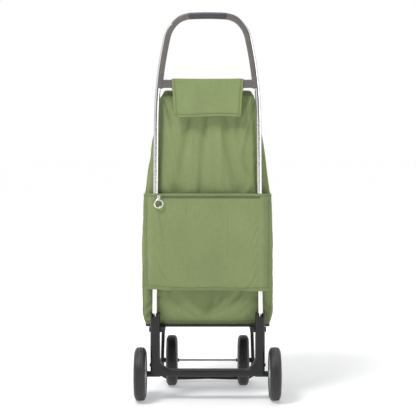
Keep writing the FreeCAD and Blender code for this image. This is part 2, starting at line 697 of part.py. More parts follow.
# The foot loop runs down and forward from the axle, round the front of both wheels. Its outline
# is drawn upright, with the axle at height nought, and then leans forward.
foot_low = "-size.foot_reach"
foot_high = "(size.foot_height - size.foot_reach)"
right_side = [
    ("size.foot_arch_half", foot_low),
    (f"{leg_out} - size.foot_corner", foot_low),
    (leg_out, f"{foot_low} + size.foot_corner"),
    (leg_out, "0"),
    (leg_in, "0"),
    (leg_in, f"{foot_high} + size.foot_corner / 2"),
    (f"{leg_in} - size.foot_corner / 2", foot_high)]
left_side = [(f"-({x})", z) for x, z in reversed(right_side)]
arch = [("0", f"{foot_low} + size.foot_arch")]
foot_loop = padded("foot_loop", "XZ_Plane", arch + right_side + left_side, "size.foot_depth")
foot_face = val("foot_depth") / 2
rounded(foot_loop, "size.leg_round", lambda e: abs(abs(middle(e).y) - foot_face) < 0.1
        and middle(e).z < -1)
place(foot_loop, "0", FRONT, AXLE_Z)
foot_loop.Placement.Rotation = FreeCAD.Rotation(Vector(1, 0, 0), val("foot_lean"))

frame_pieces = [foot_loop]
for side in (-1, 1):
    frame_pieces.append(upper_leg(side))
    frame_pieces.append(side_rod("leg_ear", side, "size.ear_radius", ear_in, ear_out, fold_y,
                                 "size.fold_height"))
    frame_pieces.append(side_rod("axle_eye", side, "size.eye_radius", leg_in, leg_out, FRONT,
                                 AXLE_Z))
    frame_pieces.append(side_rod(
        "axle_boss", side, "size.boss_radius",
        "size.front_track_half + size.hub_outer + size.side_gap", leg_out, FRONT, AXLE_Z))
front_frame = fuse("front_frame_whole", frame_pieces)
cap_end = f"({leg_out} + size.axle_cap)"
front_axle = rod("front_axle", "size.front_axle_radius", f"-{cap_end}", cap_end, FRONT, AXLE_Z)
front_frame = cut("front_frame_bored", front_frame,
                  rod("front_axle_hole", "size.front_axle_radius", f"-{cap_end}", cap_end, FRONT,
                      AXLE_Z))
button_floor = f"({ear_in} + size.fold_pin_reach + size.button_gap)"
buttons = []
for side, name in ((-1, "left"), (1, "right")):
    pin_hole = side_rod("fold_pin_hole", side, "size.fold_pin_radius + size.running_gap",
                        f"{ear_in} - 1", button_floor, fold_y, "size.fold_height")
    button_hole = side_rod("button_hole", side, "size.button_radius + size.button_gap",
                           button_floor, f"{ear_out} + 1", fold_y, "size.fold_height")
    front_frame = cut(f"front_frame_pin_{name}", front_frame, pin_hole)
    front_frame = cut(f"front_frame_button_{name}", front_frame, button_hole)
    button_start = f"{ear_out} + size.button_proud - size.button_length"
    buttons.append(side_rod("lock_button", side, "size.button_radius", button_start,
                            f"{ear_out} + size.button_proud", fold_y, "size.fold_height"))
    keep(buttons[-1], f"lock_button_{name}")
keep(front_frame, "front_frame")
keep(front_axle, "front_axle")
collar_end = "size.front_track_half - size.hub_inner - size.side_gap"
keep(group("axle_collars", [
    ring(f"collar_{n}", side, "size.collar_radius", "size.front_axle_radius",
         f"{collar_end} - size.collar_length", collar_end, FRONT, AXLE_Z)
    for n, side in enumerate((-1, 1))]), "axle_collars")
keep(group("axle_caps", [
    ring(f"axle_cap_{n}", side, "size.collar_radius", "size.front_axle_radius",
         leg_out, cap_end, FRONT, AXLE_Z)
    for n, side in enumerate((-1, 1))]), "axle_caps")


# ---- cloth bag ------------------------------------------------------------------------------

bag_rear = rear_y + depth / 2 + val("bag_gap")


def bag_section(half, deep, z, inset=0.0):
    """A level section of the bag: square-ish corners at the rear, round corners in front."""
    low, high = bag_rear + inset, bag_rear + deep - inset
    side = half - inset
    rear_r = val("bag_rear_corner") - inset
    front_r = val("bag_front_corner") - inset
    diagonal = 1 - math.sqrt(0.5)

    def corner(x_sign, y, y_sign, r):
        """Start, middle and end of a corner's arc, from the side face to the end face."""
        x = x_sign * side
        return [Vector(x, y - y_sign * r, z),
                Vector(x - x_sign * r * diagonal, y - y_sign * r * diagonal, z),
                Vector(x - x_sign * r, y, z)]

    arcs = [corner(-1, low, -1, rear_r)[::-1], corner(-1, high, 1, front_r),
            corner(1, high, 1, front_r)[::-1], corner(1, low, -1, rear_r)]
    edges = []
    for n, arc in enumerate(arcs):
        edges.append(Part.Arc(*arc).toShape())
        edges.append(Part.LineSegment(arc[2], arcs[(n + 1) % 4][0]).toShape())
    return Part.Wire(edges)


def bag_profile():
    """Half width and depth at each height, from the base to the rear panel's top edge."""
    base, full, top = val("bag_base_half"), val("bag_half"), val("bag_top_half")
    base_deep, deep, top_deep = val("bag_base_depth"), val("bag_depth"), val("bag_top_depth")
    low, high = val("bag_bottom"), val("bag_panel_top")
    tall = high - low
    rows = []
    for share, fullness in ((0, 0.0), (0.16, 0.85), (0.36, 1.0), (0.54, 0.93), (0.72, 0.6),
                            (0.86, 0.3), (1, 0.0)):
        start, start_deep = (base, base_deep) if share < 0.36 else (top, top_deep)
        rows.append((low + share * tall, start + (full - start) * fullness,
                     start_deep + (deep - start_deep) * fullness))
    return rows


cloth = val("cloth")
rows = bag_profile()
outer = Part.makeLoft([bag_section(h, d, z) for z, h, d in rows], True)
inner_rows = [(rows[0][0] + cloth,) + rows[0][1:]] + rows[1:-1] + [(rows[-1][0] + 5,) + rows[-1][1:]]
inner = Part.makeLoft([bag_section(h, d, z, cloth) for z, h, d in inner_rows], True)
top_z = val("bag_panel_top")
mouth_y = bag_rear + val("bag_top_depth")
panel_y = bag_rear + cloth
mouth = [Vector(-wide, panel_y, val("mouth_rear")), Vector(-wide, mouth_y + SPARE, val("mouth_front")
         - SPARE * (val("mouth_rear") - val("mouth_front")) / (mouth_y - panel_y)),
         Vector(-wide, mouth_y + SPARE, top_z + SPARE), Vector(-wide, panel_y, top_z + SPARE)]
above_mouth = Part.Face(Part.makePolygon(mouth + mouth[:1])).extrude(Vector(2 * wide, 0, 0))
keep(raw("bag_shell", outer.cut(inner).cut(above_mouth)), "bag_shell")

board_half = val("bag_base_half") - cloth - val("board_margin")
board_deep = val("bag_base_depth") - 2 * (cloth + val("board_margin"))
board = Part.Face(bag_section(board_half, board_deep, 0)).extrude(Vector(0, 0, val("board_thick")))
board.translate(Vector(0, cloth + val("board_margin"),
                       val("bag_bottom") + cloth + val("board_gap")))
keep(raw("bag_base_board", board), "bag_base_board")


bar_front = f"({REAR} + size.crossbar_depth / 2 + size.flap_gap)"
bar_rear = f"({REAR} - size.crossbar_depth / 2 - size.flap_gap)"
bar_top = "(size.crossbar_top + size.flap_gap)"
leaf = "size.flap_cloth"
flap = padded("flap_strip", "YZ_Plane", [
    (f"{bar_rear} - {leaf}", "size.flap_low"), (f"{bar_rear} - {leaf}", f"{bar_top} + {leaf}"),
    (f"{bar_front} + {leaf}", f"{bar_top} + {leaf}"), (f"{bar_front} + {leaf}", "size.flap_inner"),
    (bar_front, "size.flap_inner"), (bar_front, bar_top),
    (bar_rear, bar_top), (bar_rear, "size.flap_low")], "2 * size.flap_top_half")
trims = []
for side in (-1, 1):
    top_x, low_x = side * val("flap_top_half"), side * val("flap_low_half")
    low_z, high_z, out_x = val("flap_low") - 1, top_z + SPARE, top_x + side * SPARE
    corners = [Vector(low_x, rear_y - SPARE, low_z), Vector(top_x, rear_y - SPARE, high_z),
               Vector(out_x, rear_y - SPARE, high_z), Vector(out_x, rear_y - SPARE, low_z)]
    trims.append(Part.Face(Part.makePolygon(corners + corners[:1])).extrude(Vector(0, SPARE, 0)))
flap_trim = raw("flap_trim", Part.makeCompound(trims))
keep(cut("flap_trimmed", flap, flap_trim), "hanging_flap")

pocket_face = "(size.wheel_base / 2 + size.tube_depth / 2 + size.pocket_gap)"
tube_flank = "(size.tube_foot_half + size.tube_width / 2 + 1)"
seam_y = f"({REAR} + size.tube_depth / 2)"
outer_side = [(tube_flank, f"-{pocket_face} - size.cloth"),
              ("size.pocket_half", f"{REAR} - 2"), ("size.pocket_half", seam_y),
              ("size.pocket_half - size.cloth", seam_y),
              ("size.pocket_half - size.cloth", f"{REAR} - 1"),
              (f"{tube_flank} - 1", f"-{pocket_face}")]
mirrored = [(f"-({x})", y) for x, y in reversed(outer_side)]
pocket = doc.addObject("PartDesign::Body", "pocket_sleeve")
pocket_pad = pocket.newObject("PartDesign::Pad", "pocket_pad")
pocket_pad.Profile = outline(pocket, "XY_Plane", outer_side + mirrored)
pocket_pad.setExpression("Length", "size.pocket_high - size.pocket_low")
place(pocket, "0", "0", "size.pocket_low")
keep(pocket, "rear_pocket")

zip_face = f"(-{pocket_face} - size.cloth)"
keep(block("zip_tape", "size.zip_left", f"{zip_face} - size.zip_thick",
           "size.zip_height - size.zip_width / 2", "size.zip_right - size.zip_left",
           "size.zip_thick", "size.zip_width"), "pocket_zip")
slider_y = f"({zip_face} - size.zip_thick - size.slider_gap)"
slider_low = "(size.zip_height - size.slider_height / 2)"
ring_y = f"({slider_y} - size.ring_wire - size.ring_gap - size.eye_wall)"
ring_top = f"({slider_low} - size.ring_wire - size.ring_gap + size.eye_wall)"
slider_block = block("slider_block", "size.slider_place - size.slider_width / 2",
                     f"{slider_y} - size.slider_thick", slider_low, "size.slider_width",
                     "size.slider_thick", "size.slider_height")
eye = "(size.ring_wire + size.ring_gap)"
eye_low = "(size.slider_place - size.eye_thick / 2)"
eye_high = "(size.slider_place + size.eye_thick / 2)"
eye_plate = rod("eye_plate", f"{eye} + size.eye_wall", eye_low, eye_high, ring_y, ring_top)
eye_neck = block("eye_neck", eye_low, ring_y, ring_top, "size.eye_thick",
                 f"{slider_y} - {ring_y}", f"{slider_low} + size.eye_wall - {ring_top}")
slider_left = "(size.slider_place - size.slider_width)"
slider_right = "(size.slider_place + size.slider_width)"
eye_hole = rod("eye_hole", eye, slider_left, slider_right, ring_y, ring_top)
eye_whole = cut("eye_bored", fuse("eye_solid", [eye_plate, eye_neck]), eye_hole)
slider_trim = cut("slider_trim", slider_block, rod(
    "eye_room", f"{eye} - size.ring_gap / 2", slider_left, slider_right, ring_y, ring_top))
keep(fuse("zip_slider_whole", [slider_trim, eye_whole]), "zip_slider")
pull = doc.addObject("Part::Torus", "pull_torus")
bind(pull, {"Radius1": "size.ring_radius", "Radius2": "size.ring_wire"})
pull.Placement.Rotation = FreeCAD.Rotation(Vector(1, 0, 0), 90)
keep(place(pull, "size.slider_place", ring_y, f"{ring_top} - size.ring_radius"), "zip_ring")


def bag_front(z):
    """The bag's front face at a height."""
    wires = outer.slice(Vector(0, 0, 1), z)
    return max(p.y for wire in wires for p in wire.discretize(Number=80))


fall = (val("mouth_rear") - val("mouth_front")) / (mouth_y - panel_y)
lid_rear = panel_y + val("lid_rear_gap")
lid_front = bag_front(val("mouth_front")) + val("lid_overhang")
lid_rear_z = val("mouth_rear") + val("lid_gap")
lid_front_z = lid_rear_z - fall * (lid_front - panel_y)
skirt_z = lid_front_z - val("lid_drop")
skirt_y = bag_front(skirt_z) + val("lid_overhang")
lid_points = [(lid_rear, lid_rear_z), (lid_front, lid_front_z), (skirt_y, skirt_z),
              (skirt_y + cloth, skirt_z), (lid_front + cloth, lid_front_z + cloth),
              (lid_rear, lid_rear_z + cloth)]
half = val("lid_front_half")
lid_outline = [Vector(-half, y, z) for y, z in lid_points]
lid = Part.Face(Part.makePolygon(lid_outline + lid_outline[:1])).extrude(Vector(2 * half, 0, 0))
for side in (-1, 1):
    corners = [Vector(side * val("lid_rear_half"), lid_rear - 1, 0),
               Vector(side * half, lid_front, 0), Vector(side * (half + SPARE), lid_front, 0),
               Vector(side * (half + SPARE), lid_rear - 1, 0)]
    side_trim = Part.Face(Part.makePolygon(corners + corners[:1])).extrude(Vector(0, 0, 2 * top_z))
    lid = lid.cut(side_trim)
seam_half = val("lid_rear_half") - 1
lid = lid.fuse(Part.makeCylinder(val("lid_cord"), 2 * seam_half,
                                 Vector(-seam_half, lid_rear, lid_rear_z + cloth), Vector(1, 0, 0)))
keep(raw("bag_lid", lid), "bag_lid")
stud_z = skirt_z + 2 * val("stud_radius")
stud_y = skirt_y + (lid_front - skirt_y) * (stud_z - skirt_z) / (lid_front_z - skirt_z) + cloth
lid_stud = Part.makeCylinder(val("stud_radius"), val("stud_thick"), Vector(0, stud_y, stud_z),
                             Vector(0, 1, 0))
keep(raw("lid_stud", lid_stud.cut(lid)), "lid_stud")
bag_stud = Part.makeCylinder(val("stud_radius"), val("stud_thick") + cloth / 2,
                             Vector(0, bag_front(stud_z) - cloth / 2, stud_z), Vector(0, 1, 0))
seat_z = [stud_z + share * val("stud_radius") for share in (-1.1, -0.5, 0, 0.5, 1.1)]
seat = [Vector(-SPARE, bag_front(z), z) for z in seat_z]
seat += [Vector(-SPARE, bag_rear, seat_z[-1]), Vector(-SPARE, bag_rear, seat_z[0])]
seat_solid = Part.Face(Part.makePolygon(seat + seat[:1])).extrude(Vector(2 * SPARE, 0, 0))
keep(raw("bag_stud", bag_stud.cut(seat_solid)), "bag_stud")


# ---- check and write ------------------------------------------------------------------------

doc.recompute()
for obj in doc.Objects:
    if "Invalid" in obj.State or "Error" in obj.State:
        raise RuntimeError(f"{obj.Name} ({obj.Label}) did not recompute: {obj.State}")
os.makedirs("parts", exist_ok=True)
for obj in PARTS:
    shape = obj.Shape
    if shape.isNull() or not shape.isValid() or not shape.Solids:
        raise RuntimeError(f"{obj.Label} has no valid solid")
    box = shape.BoundBox
    print(f"{obj.Label:22s} solids {len(shape.Solids)} volume {shape.Volume / 1000:8.1f} cm3  "
          f"x {box.XMin:7.1f} {box.XMax:7.1f}  y {box.YMin:7.1f} {box.YMax:7.1f}  "
          f"z {box.ZMin:7.1f} {box.ZMax:7.1f}")
for obj in PARTS:
    obj.Shape.exportStep(f"parts/{obj.Label}.step")
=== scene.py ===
"""Looks of a four-wheeled shopping trolley: cloth bag, moulded handle, wheels and a pale studio."""

import json
import math

import bmesh
import bpy
import numpy as np
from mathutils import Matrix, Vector, noise


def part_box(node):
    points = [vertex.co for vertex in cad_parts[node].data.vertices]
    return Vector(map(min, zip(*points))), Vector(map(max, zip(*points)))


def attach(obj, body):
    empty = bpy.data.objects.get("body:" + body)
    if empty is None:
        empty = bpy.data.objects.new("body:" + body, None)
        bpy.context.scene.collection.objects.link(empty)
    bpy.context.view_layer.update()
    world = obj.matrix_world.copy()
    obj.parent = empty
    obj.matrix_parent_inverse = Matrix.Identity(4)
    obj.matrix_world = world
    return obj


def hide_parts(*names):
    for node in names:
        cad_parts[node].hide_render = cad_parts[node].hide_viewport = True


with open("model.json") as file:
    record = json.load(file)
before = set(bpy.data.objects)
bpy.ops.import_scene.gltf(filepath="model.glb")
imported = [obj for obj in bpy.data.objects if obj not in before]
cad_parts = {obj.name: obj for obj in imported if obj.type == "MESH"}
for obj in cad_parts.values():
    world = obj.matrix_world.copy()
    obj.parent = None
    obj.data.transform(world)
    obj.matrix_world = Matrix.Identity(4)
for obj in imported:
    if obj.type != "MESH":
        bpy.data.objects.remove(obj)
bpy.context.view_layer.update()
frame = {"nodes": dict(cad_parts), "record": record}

bl_info = {
    "name": "Shopping trolley",
    "version": (1, 0, 0),
    "blender": (4, 5, 0),
    "location": "3D View > Sidebar > Trolley",
    "description": "Builds the cloth, mouldings, wheels and stage of a shopping trolley",
    "category": "Object",
}

NODES = frame["nodes"]
REAR_Y = (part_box("frame_tube")[0].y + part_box("frame_tube")[1].y) / 2


# ---- sizes and colours ------------------------------------------------------------------------

class TrolleySizes(bpy.types.PropertyGroup):
    """Sizes of the cloth, its seams and the mouldings, in metres."""
    cloth: bpy.props.FloatProperty(
        name="Cloth", description="Thickness of the bag's cloth", default=0.0016, unit="LENGTH")
    stitch: bpy.props.FloatProperty(
        name="Stitch", description="Length of one stitch", default=0.0034, unit="LENGTH")
    stitch_gap: bpy.props.FloatProperty(
        name="Stitch gap", description="Gap between two stitches", default=0.0013, unit="LENGTH")
    thread: bpy.props.FloatProperty(
        name="Thread", description="Thickness of the sewing thread", default=0.0009, unit="LENGTH")
    fold: bpy.props.FloatProperty(
        name="Fold", description="Depth of the bag's soft folds", default=0.0105, unit="LENGTH")
    tooth_pitch: bpy.props.FloatProperty(
        name="Tooth pitch", description="Spacing of the zip's teeth", default=0.0021, unit="LENGTH")
    ribs: bpy.props.IntProperty(
        name="Wheel ribs", description="Ribs on each face of a wheel disc", default=10, min=3)


class TrolleyColours(bpy.types.PropertyGroup):
    """Colours of the finishes, linear."""
    cloth: bpy.props.FloatVectorProperty(
        name="Cloth", description="Green cloth in plain light", subtype="COLOR", size=3,
        default=(0.268, 0.332, 0.143))
    cloth_shade: bpy.props.FloatVectorProperty(
        name="Cloth, dark threads", description="Darker threads of the green cloth",
        subtype="COLOR", size=3, default=(0.180, 0.226, 0.093))
    handle: bpy.props.FloatVectorProperty(
        name="Handle", description="Warm grey handle moulding", subtype="COLOR", size=3,
        default=(0.125, 0.114, 0.106))
    grip: bpy.props.FloatVectorProperty(
        name="Grip", description="Blue grey hand grip", subtype="COLOR", size=3,
        default=(0.05, 0.05, 0.058))
    plastic: bpy.props.FloatVectorProperty(
        name="Black plastic", description="Chassis and front frame", subtype="COLOR", size=3,
        default=(0.0062, 0.0062, 0.0064))
    tyre: bpy.props.FloatVectorProperty(
        name="Tyre", description="Dark foam rubber", subtype="COLOR", size=3,
        default=(0.022, 0.022, 0.0225))
    disc: bpy.props.FloatVectorProperty(
        name="Wheel disc", description="Silver grey moulding", subtype="COLOR", size=3,
        default=(0.5, 0.51, 0.52))


class TrolleyStage(bpy.types.PropertyGroup):
    """Camera and light."""
    lens: bpy.props.FloatProperty(
        name="Lens", description="Camera focal length in millimetres", default=103.8)
    distance: bpy.props.FloatProperty(
        name="Distance", description="Camera to the frame tube", default=3.25, unit="LENGTH")
    height: bpy.props.FloatProperty(
        name="Height", description="Camera over the floor", default=0.736, unit="LENGTH")
    tilt: bpy.props.FloatProperty(
        name="Tilt", description="Camera's downward tilt", default=math.radians(3.655),
        subtype="ANGLE")
    key: bpy.props.FloatProperty(
        name="Key light", description="Power of the key light in watts", default=72)
    fill: bpy.props.FloatProperty(
        name="Fill light", description="Power of the fill light in watts", default=13)
    room: bpy.props.FloatProperty(
        name="Room", description="Brightness of the pale room", default=0.22)


def sizes():
    return bpy.context.scene.trolley_sizes


def colours():
    return bpy.context.scene.trolley_colours


# ---- shader maths -----------------------------------------------------------------------------

class Wire:
    """A shader socket. Arithmetic on it adds Math nodes to its tree."""

    def __init__(self, tree, socket):
        self.tree = tree
        self.socket = socket

    def node(self, kind, settings=None, output=0, **values):
        """Another node of the same tree, as a Wire from one of its outputs."""
        return add_node(self.tree, kind, settings, output, **values)

    def math(self, operation, other=0.0, swap=False):
        pair = (other, self) if swap else (self, other)
        return self.node("ShaderNodeMath", {"operation": operation}, at_0=pair[0], at_1=pair[1])

    def __add__(self, other):
        return self.math("ADD", other)

    def __sub__(self, other):
        return self.math("SUBTRACT", other)

    def __rsub__(self, other):
        return self.math("SUBTRACT", other, True)

    def __mul__(self, other):
        return self.math("MULTIPLY", other)

    __radd__ = __add__
    __rmul__ = __mul__


def add_node(tree, kind, settings=None, output=0, **values):
    """Add a node: settings first, then sockets by name, or by number as at_0, at_1."""
    node = tree.nodes.new(kind)
    for key, value in (settings or {}).items():
        setattr(node, key, value)
    for key, value in values.items():
        name = int(key[3:]) if key.startswith("at_") else key.replace("_", " ")
        socket = node.inputs[name]
        if isinstance(value, Wire):
            tree.links.new(value.socket, socket)
        elif hasattr(value, "__len__") and len(value) == 3 and len(socket.default_value) == 4:
            socket.default_value = (*value, 1)
        else:
            socket.default_value = value
    return Wire(tree, node.outputs[output])


def mix_colours(factor, first, second):
    """A colour between two, as a Wire."""
    return factor.node("ShaderNodeMix", {"data_type": "RGBA"}, 2, at_0=factor, at_6=first,
                       at_7=second)


def material(name, paint):
    """A finish by name, made once; paint(tree) gives the Principled sockets' values."""
    name = name + "_finish"
    made = bpy.data.materials.get(name)
    if made:
        return made
    made = bpy.data.materials.new(name)
    made.use_nodes = True
    tree = made.node_tree
    tree.nodes.clear()
    shader = add_node(tree, "ShaderNodeBsdfPrincipled", **paint(tree))
    add_node_output(tree, shader)
    return made


def add_node_output(tree, shader):
    out = tree.nodes.new("ShaderNodeOutputMaterial")
    tree.links.new(shader.socket, out.inputs["Surface"])


def place_of(tree, kind="Object"):
    """Texture coordinates of the piece."""
    return add_node(tree, "ShaderNodeTexCoord", output={"Object": 3, "UV": 2}[kind])


def speckle(tree, scale, detail=2.0, kind="Object", stretch=(1, 1, 1)):
    """Noise in metres: scale is the number of grains to the metre."""
    mapped = add_node(tree, "ShaderNodeMapping", Vector=place_of(tree, kind), Scale=stretch)
    return mapped.node("ShaderNodeTexNoise", Vector=mapped, Scale=scale, Detail=detail)


def bumped(height, strength, distance):
    """A Bump node on a height, as a Wire."""
    return height.node("ShaderNodeBump", Strength=strength, Distance=distance, Height=height)


def cloth_paint(tree, tint=1.0):
    """Plain weave polyester with a thin coating: threads both ways, slubs, creases, and painted shade at
    the seams.
    """
    threads = []
    for way in "XY":
        threads.append(add_node(tree, "ShaderNodeTexWave", {"bands_direction": way}, 1,
                                Vector=place_of(tree, "UV"), Scale=420.0, Distortion=0.6,
                                Detail=1.0, Detail_Scale=2.0))
    thread = threads[0] * threads[1]
    slub_up = speckle(tree, 60, 3, "UV", (9, 0.7, 1))
    slub_across = speckle(tree, 60, 3, "UV", (0.7, 9, 1))
    cloud = speckle(tree, 7, 3)
    crease = speckle(tree, 26, 4)
    light = [c * tint for c in colours().cloth]
    dark = [c * tint for c in colours().cloth_shade]
    # The deep colour is painted shade: the darker threads at half strength, used beside seams and hems.
    deep = [c * tint * 0.5 for c in colours().cloth_shade]
    tone = (slub_up + slub_across) * 0.28 + cloud * 0.42 + thread * 0.18
    woven = mix_colours(tone.node("ShaderNodeMapRange", Value=tone, at_1=0.3, at_2=0.7),
                        dark, light)
    # Painted shade: where the seam attribute is high, the cloth takes the deep colour in place of the
    # shade of puckered seams and hems.
    seam = add_node(tree, "ShaderNodeAttribute", {"attribute_name": "seam"}, 2)
    colour = mix_colours(seam, woven, deep)
    weave = bumped(thread + slub_up * 0.5 + slub_across * 0.5, 0.35, 0.0002)
    creased = crease.node("ShaderNodeBump", Strength=0.3, Distance=0.002, Height=crease,
                          Normal=weave)
    return {"Base_Color": colour, "Roughness": 0.86 - thread * 0.1, "Normal": creased,
            "Sheen_Weight": 0.2, "Sheen_Roughness": 0.5, "Specular_IOR_Level": 0.3}


def hem_paint(tree):
    """The same cloth, turned twice at an edge."""
    return cloth_paint(tree, 1.06)


def thread_paint(tree):
    """Sewing thread: two plies, a shade lighter than the cloth."""
    ply = speckle(tree, 900, 1)
    light = [min(1.0, c * 1.25) for c in colours().cloth]
    return {"Base_Color": mix_colours(ply, colours().cloth, light),
            "Roughness": 0.55 + ply * 0.2, "Sheen_Weight": 0.4}


def piping_paint(tree):
    """Dark olive binding at the bag's base."""
    grain = speckle(tree, 500, 2)
    return {"Base_Color": mix_colours(grain, (0.03, 0.036, 0.02), (0.06, 0.07, 0.035)),
            "Roughness": 0.8, "Normal": bumped(grain, 0.3, 0.0003)}


def moulded_paint(colour, rough, grain_size, depth):
    """A paint function for a moulded plastic with a fine grain and rubbed high spots."""
    def paint(tree):
        grain = speckle(tree, grain_size, 2)
        rub = speckle(tree, 18, 4)
        pale = [c * 1.22 + 0.004 for c in colour]
        return {"Base_Color": mix_colours(rub.node("ShaderNodeMapRange", Value=rub, at_1=0.4,
                                                   at_2=0.75), colour, pale),
                "Roughness": rough + rub * 0.14 - grain * 0.05, "Normal": bumped(grain, 0.3, depth)}
    return paint


def aluminium_paint(tree):
    """Bright polished tube: faint die lines and haze that only change its gloss."""
    lines = speckle(tree, 300, 2, "Object", (1, 1, 0.01))
    haze = speckle(tree, 20, 3)
    return {"Base_Color": mix_colours(haze, (0.70, 0.695, 0.69), (0.78, 0.78, 0.78)),
            "Metallic": 1.0, "Roughness": 0.15 + haze * 0.04 + lines * 0.03}


def steel_paint(tree):
    """Zinc plated steel: a slightly clouded grey."""
    cloud = speckle(tree, 140, 3)
    return {"Base_Color": mix_colours(cloud, (0.42, 0.42, 0.43), (0.66, 0.66, 0.66)),
            "Metallic": 1.0, "Roughness": 0.28 + cloud * 0.16}


def chrome_paint(tree):
    """Nickel plate with faint scuffs."""
    scuff = speckle(tree, 380, 4)
    return {"Base_Color": mix_colours(scuff, (0.74, 0.73, 0.71), (0.86, 0.85, 0.84)),
            "Metallic": 1.0, "Roughness": 0.12 + scuff * 0.12, "Normal": bumped(scuff, 0.05, 0.0001)}


def board_paint(tree):
    """Pressed fibre board."""
    fibre = speckle(tree, 260, 5)
    return {"Base_Color": mix_colours(fibre, (0.035, 0.035, 0.033), (0.075, 0.073, 0.068)),
            "Roughness": 0.8, "Normal": bumped(fibre, 0.4, 0.0004)}


def cloth_material():
    return material("green_cloth", cloth_paint)


def hem_material():
    return material("green_hem", hem_paint)


def handle_material():
    return material("handle_grey", moulded_paint(colours().handle, 0.42, 1100, 0.00008))


def grip_material():
    return material("grip_rubber", moulded_paint(colours().grip, 0.46, 1400, 0.00015))


def plastic_material():
    return material("black_plastic", moulded_paint(colours().plastic, 0.36, 900, 0.00016))


def tyre_material():
    return material("tyre_rubber", moulded_paint(colours().tyre, 0.44, 650, 0.00022))


def disc_material():
    return material("disc_silver", moulded_paint(colours().disc, 0.4, 800, 0.00008))


# ---- outlines and skins -----------------------------------------------------------------------

def rounded_outline(corners, steps=6):
    """A closed flat outline from (x, y, radius) corners, each round stretch an arc."""
    points = []
    for i, (x, y, radius) in enumerate(corners):
        here = Vector((x, y))
        before = (Vector(corners[i - 1][:2]) - here).normalized()
        after = (Vector(corners[(i + 1) % len(corners)][:2]) - here).normalized()
        if radius <= 0:
            points.append(here)
            continue
        half = before.angle(after) / 2
        centre = here + (before + after).normalized() * radius / math.sin(half)
        start = here + before * radius / math.tan(half) - centre
        end = here + after * radius / math.tan(half) - centre
        turn = start.angle_signed(end)
        for step in range(steps + 1):
            angle = -turn * step / steps
            points.append(centre + Vector((start.x * math.cos(angle) - start.y * math.sin(angle),
                                           start.x * math.sin(angle) + start.y * math.cos(angle))))
    return np.array([tuple(p) for p in points])


def smooth_line(points, x):
    """A curve through (place, value) points with no overshoot, read at x."""
    px, py = np.array(points, float).T
    step = np.diff(py) / np.diff(px)
    slope = np.zeros(len(px))
    same = step[:-1] * step[1:] > 0
    slope[1:-1][same] = 2 / (1 / step[:-1][same] + 1 / step[1:][same])
    slope[0], slope[-1] = step[0], step[-1]
    x = np.clip(x, px[0], px[-1])
    i = np.clip(np.searchsorted(px, x) - 1, 0, len(px) - 2)
    width = px[i + 1] - px[i]
    t = (x - px[i]) / width
    return ((1 + 2 * t) * (1 - t) ** 2 * py[i] + t * (1 - t) ** 2 * width * slope[i]
            + t * t * (3 - 2 * t) * py[i + 1] + t * t * (t - 1) * width * slope[i + 1])


def ramp(x, low, high):
    """0 at low, 1 at high, smooth between."""
    t = np.clip((np.asarray(x, float) - low) / (high - low), 0, 1)
    return t * t * (3 - 2 * t)


def hump(x, centre, width):
    """A bell of height 1 at the centre."""
    return np.exp(-((x - centre) / width) ** 2)


def ripple(points, scale, seed):
    """Smooth noise from -1 to 1 at each point; scale is the size of a ripple in metres."""
    flat = points.reshape(-1, 3)
    values = [noise.noise(Vector(p) / scale + Vector((seed * 7.3, seed * 3.1, seed))) for p in flat]
    return np.array(values).reshape(points.shape[:-1])


def placed(name, data):
    """A new object in the scene."""
    made = bpy.data.objects.new(name, data)
    bpy.context.scene.collection.objects.link(made)
    return made


def skin(name, points, finish, wrap=(False, False), caps=False, sharp=None, seam=None):
    """A smooth skin over a grid of points (rows, columns, 3), with a UV map in metres.

    wrap closes the rows and the columns; caps closes the first and the last row with a face;
    seam is how much painted shade each point gets beside a seam's pucker, from 0 to 1."""
    rows, columns = points.shape[:2]
    row_spans = rows if wrap[0] else rows - 1
    column_spans = columns if wrap[1] else columns - 1
    mesh = bpy.data.meshes.new(name)
    faces, places = [], []
    middle_row, middle_column = points[rows // 2], points[:, columns // 2]
    along = np.concatenate([[0], np.cumsum(np.linalg.norm(
        np.diff(np.vstack([middle_row, middle_row[:1]]), axis=0), axis=1))])
    up = np.concatenate([[0], np.cumsum(np.linalg.norm(
        np.diff(np.vstack([middle_column, middle_column[:1]]), axis=0), axis=1))])
    for r in range(row_spans):
        for c in range(column_spans):
            r2, c2 = (r + 1) % rows, (c + 1) % columns
            faces.append((r * columns + c, r * columns + c2, r2 * columns + c2, r2 * columns + c))
            places += [(along[c], up[r]), (along[c + 1], up[r]), (along[c + 1], up[r + 1]),
                       (along[c], up[r + 1])]
    if caps:
        for r, order in ((0, range(columns - 1, -1, -1)), (rows - 1, range(columns))):
            faces.append(tuple(r * columns + c for c in order))
            centre = points[r].mean(axis=0)
            places += [tuple((points[r, c] - centre)[:2]) for c in order]
    mesh.from_pydata(points.reshape(-1, 3).tolist(), [], faces)
    layer = mesh.uv_layers.new(name="UVMap")
    layer.data.foreach_set("uv", np.array(places, float).ravel())
    # The seam attribute carries painted shade into the cloth's colour.
    if seam is not None:
        shade = mesh.attributes.new("seam", "FLOAT", "POINT")
        shade.data.foreach_set("value", np.clip(seam, 0, 1).astype(float).ravel())
    mesh.shade_smooth()
    if sharp:
        mesh.set_sharp_from_angle(angle=math.radians(sharp))
    mesh.materials.append(finish)
    return placed(name, mesh)


def thickened(obj, thick, offset=0.0):
    """A wall on a skin, with its rim."""
    wall = obj.modifiers.new("wall", "SOLIDIFY")
    wall.thickness = thick
    wall.offset = offset
    wall.use_even_offset = True
    return obj


def outward(points):
    """Unit normals of a grid of points."""
    across = np.gradient(points, axis=1)
    up = np.gradient(points, axis=0)
    normal = np.cross(across, up)
    return normal / np.maximum(np.linalg.norm(normal, axis=2, keepdims=True), 1e-9)


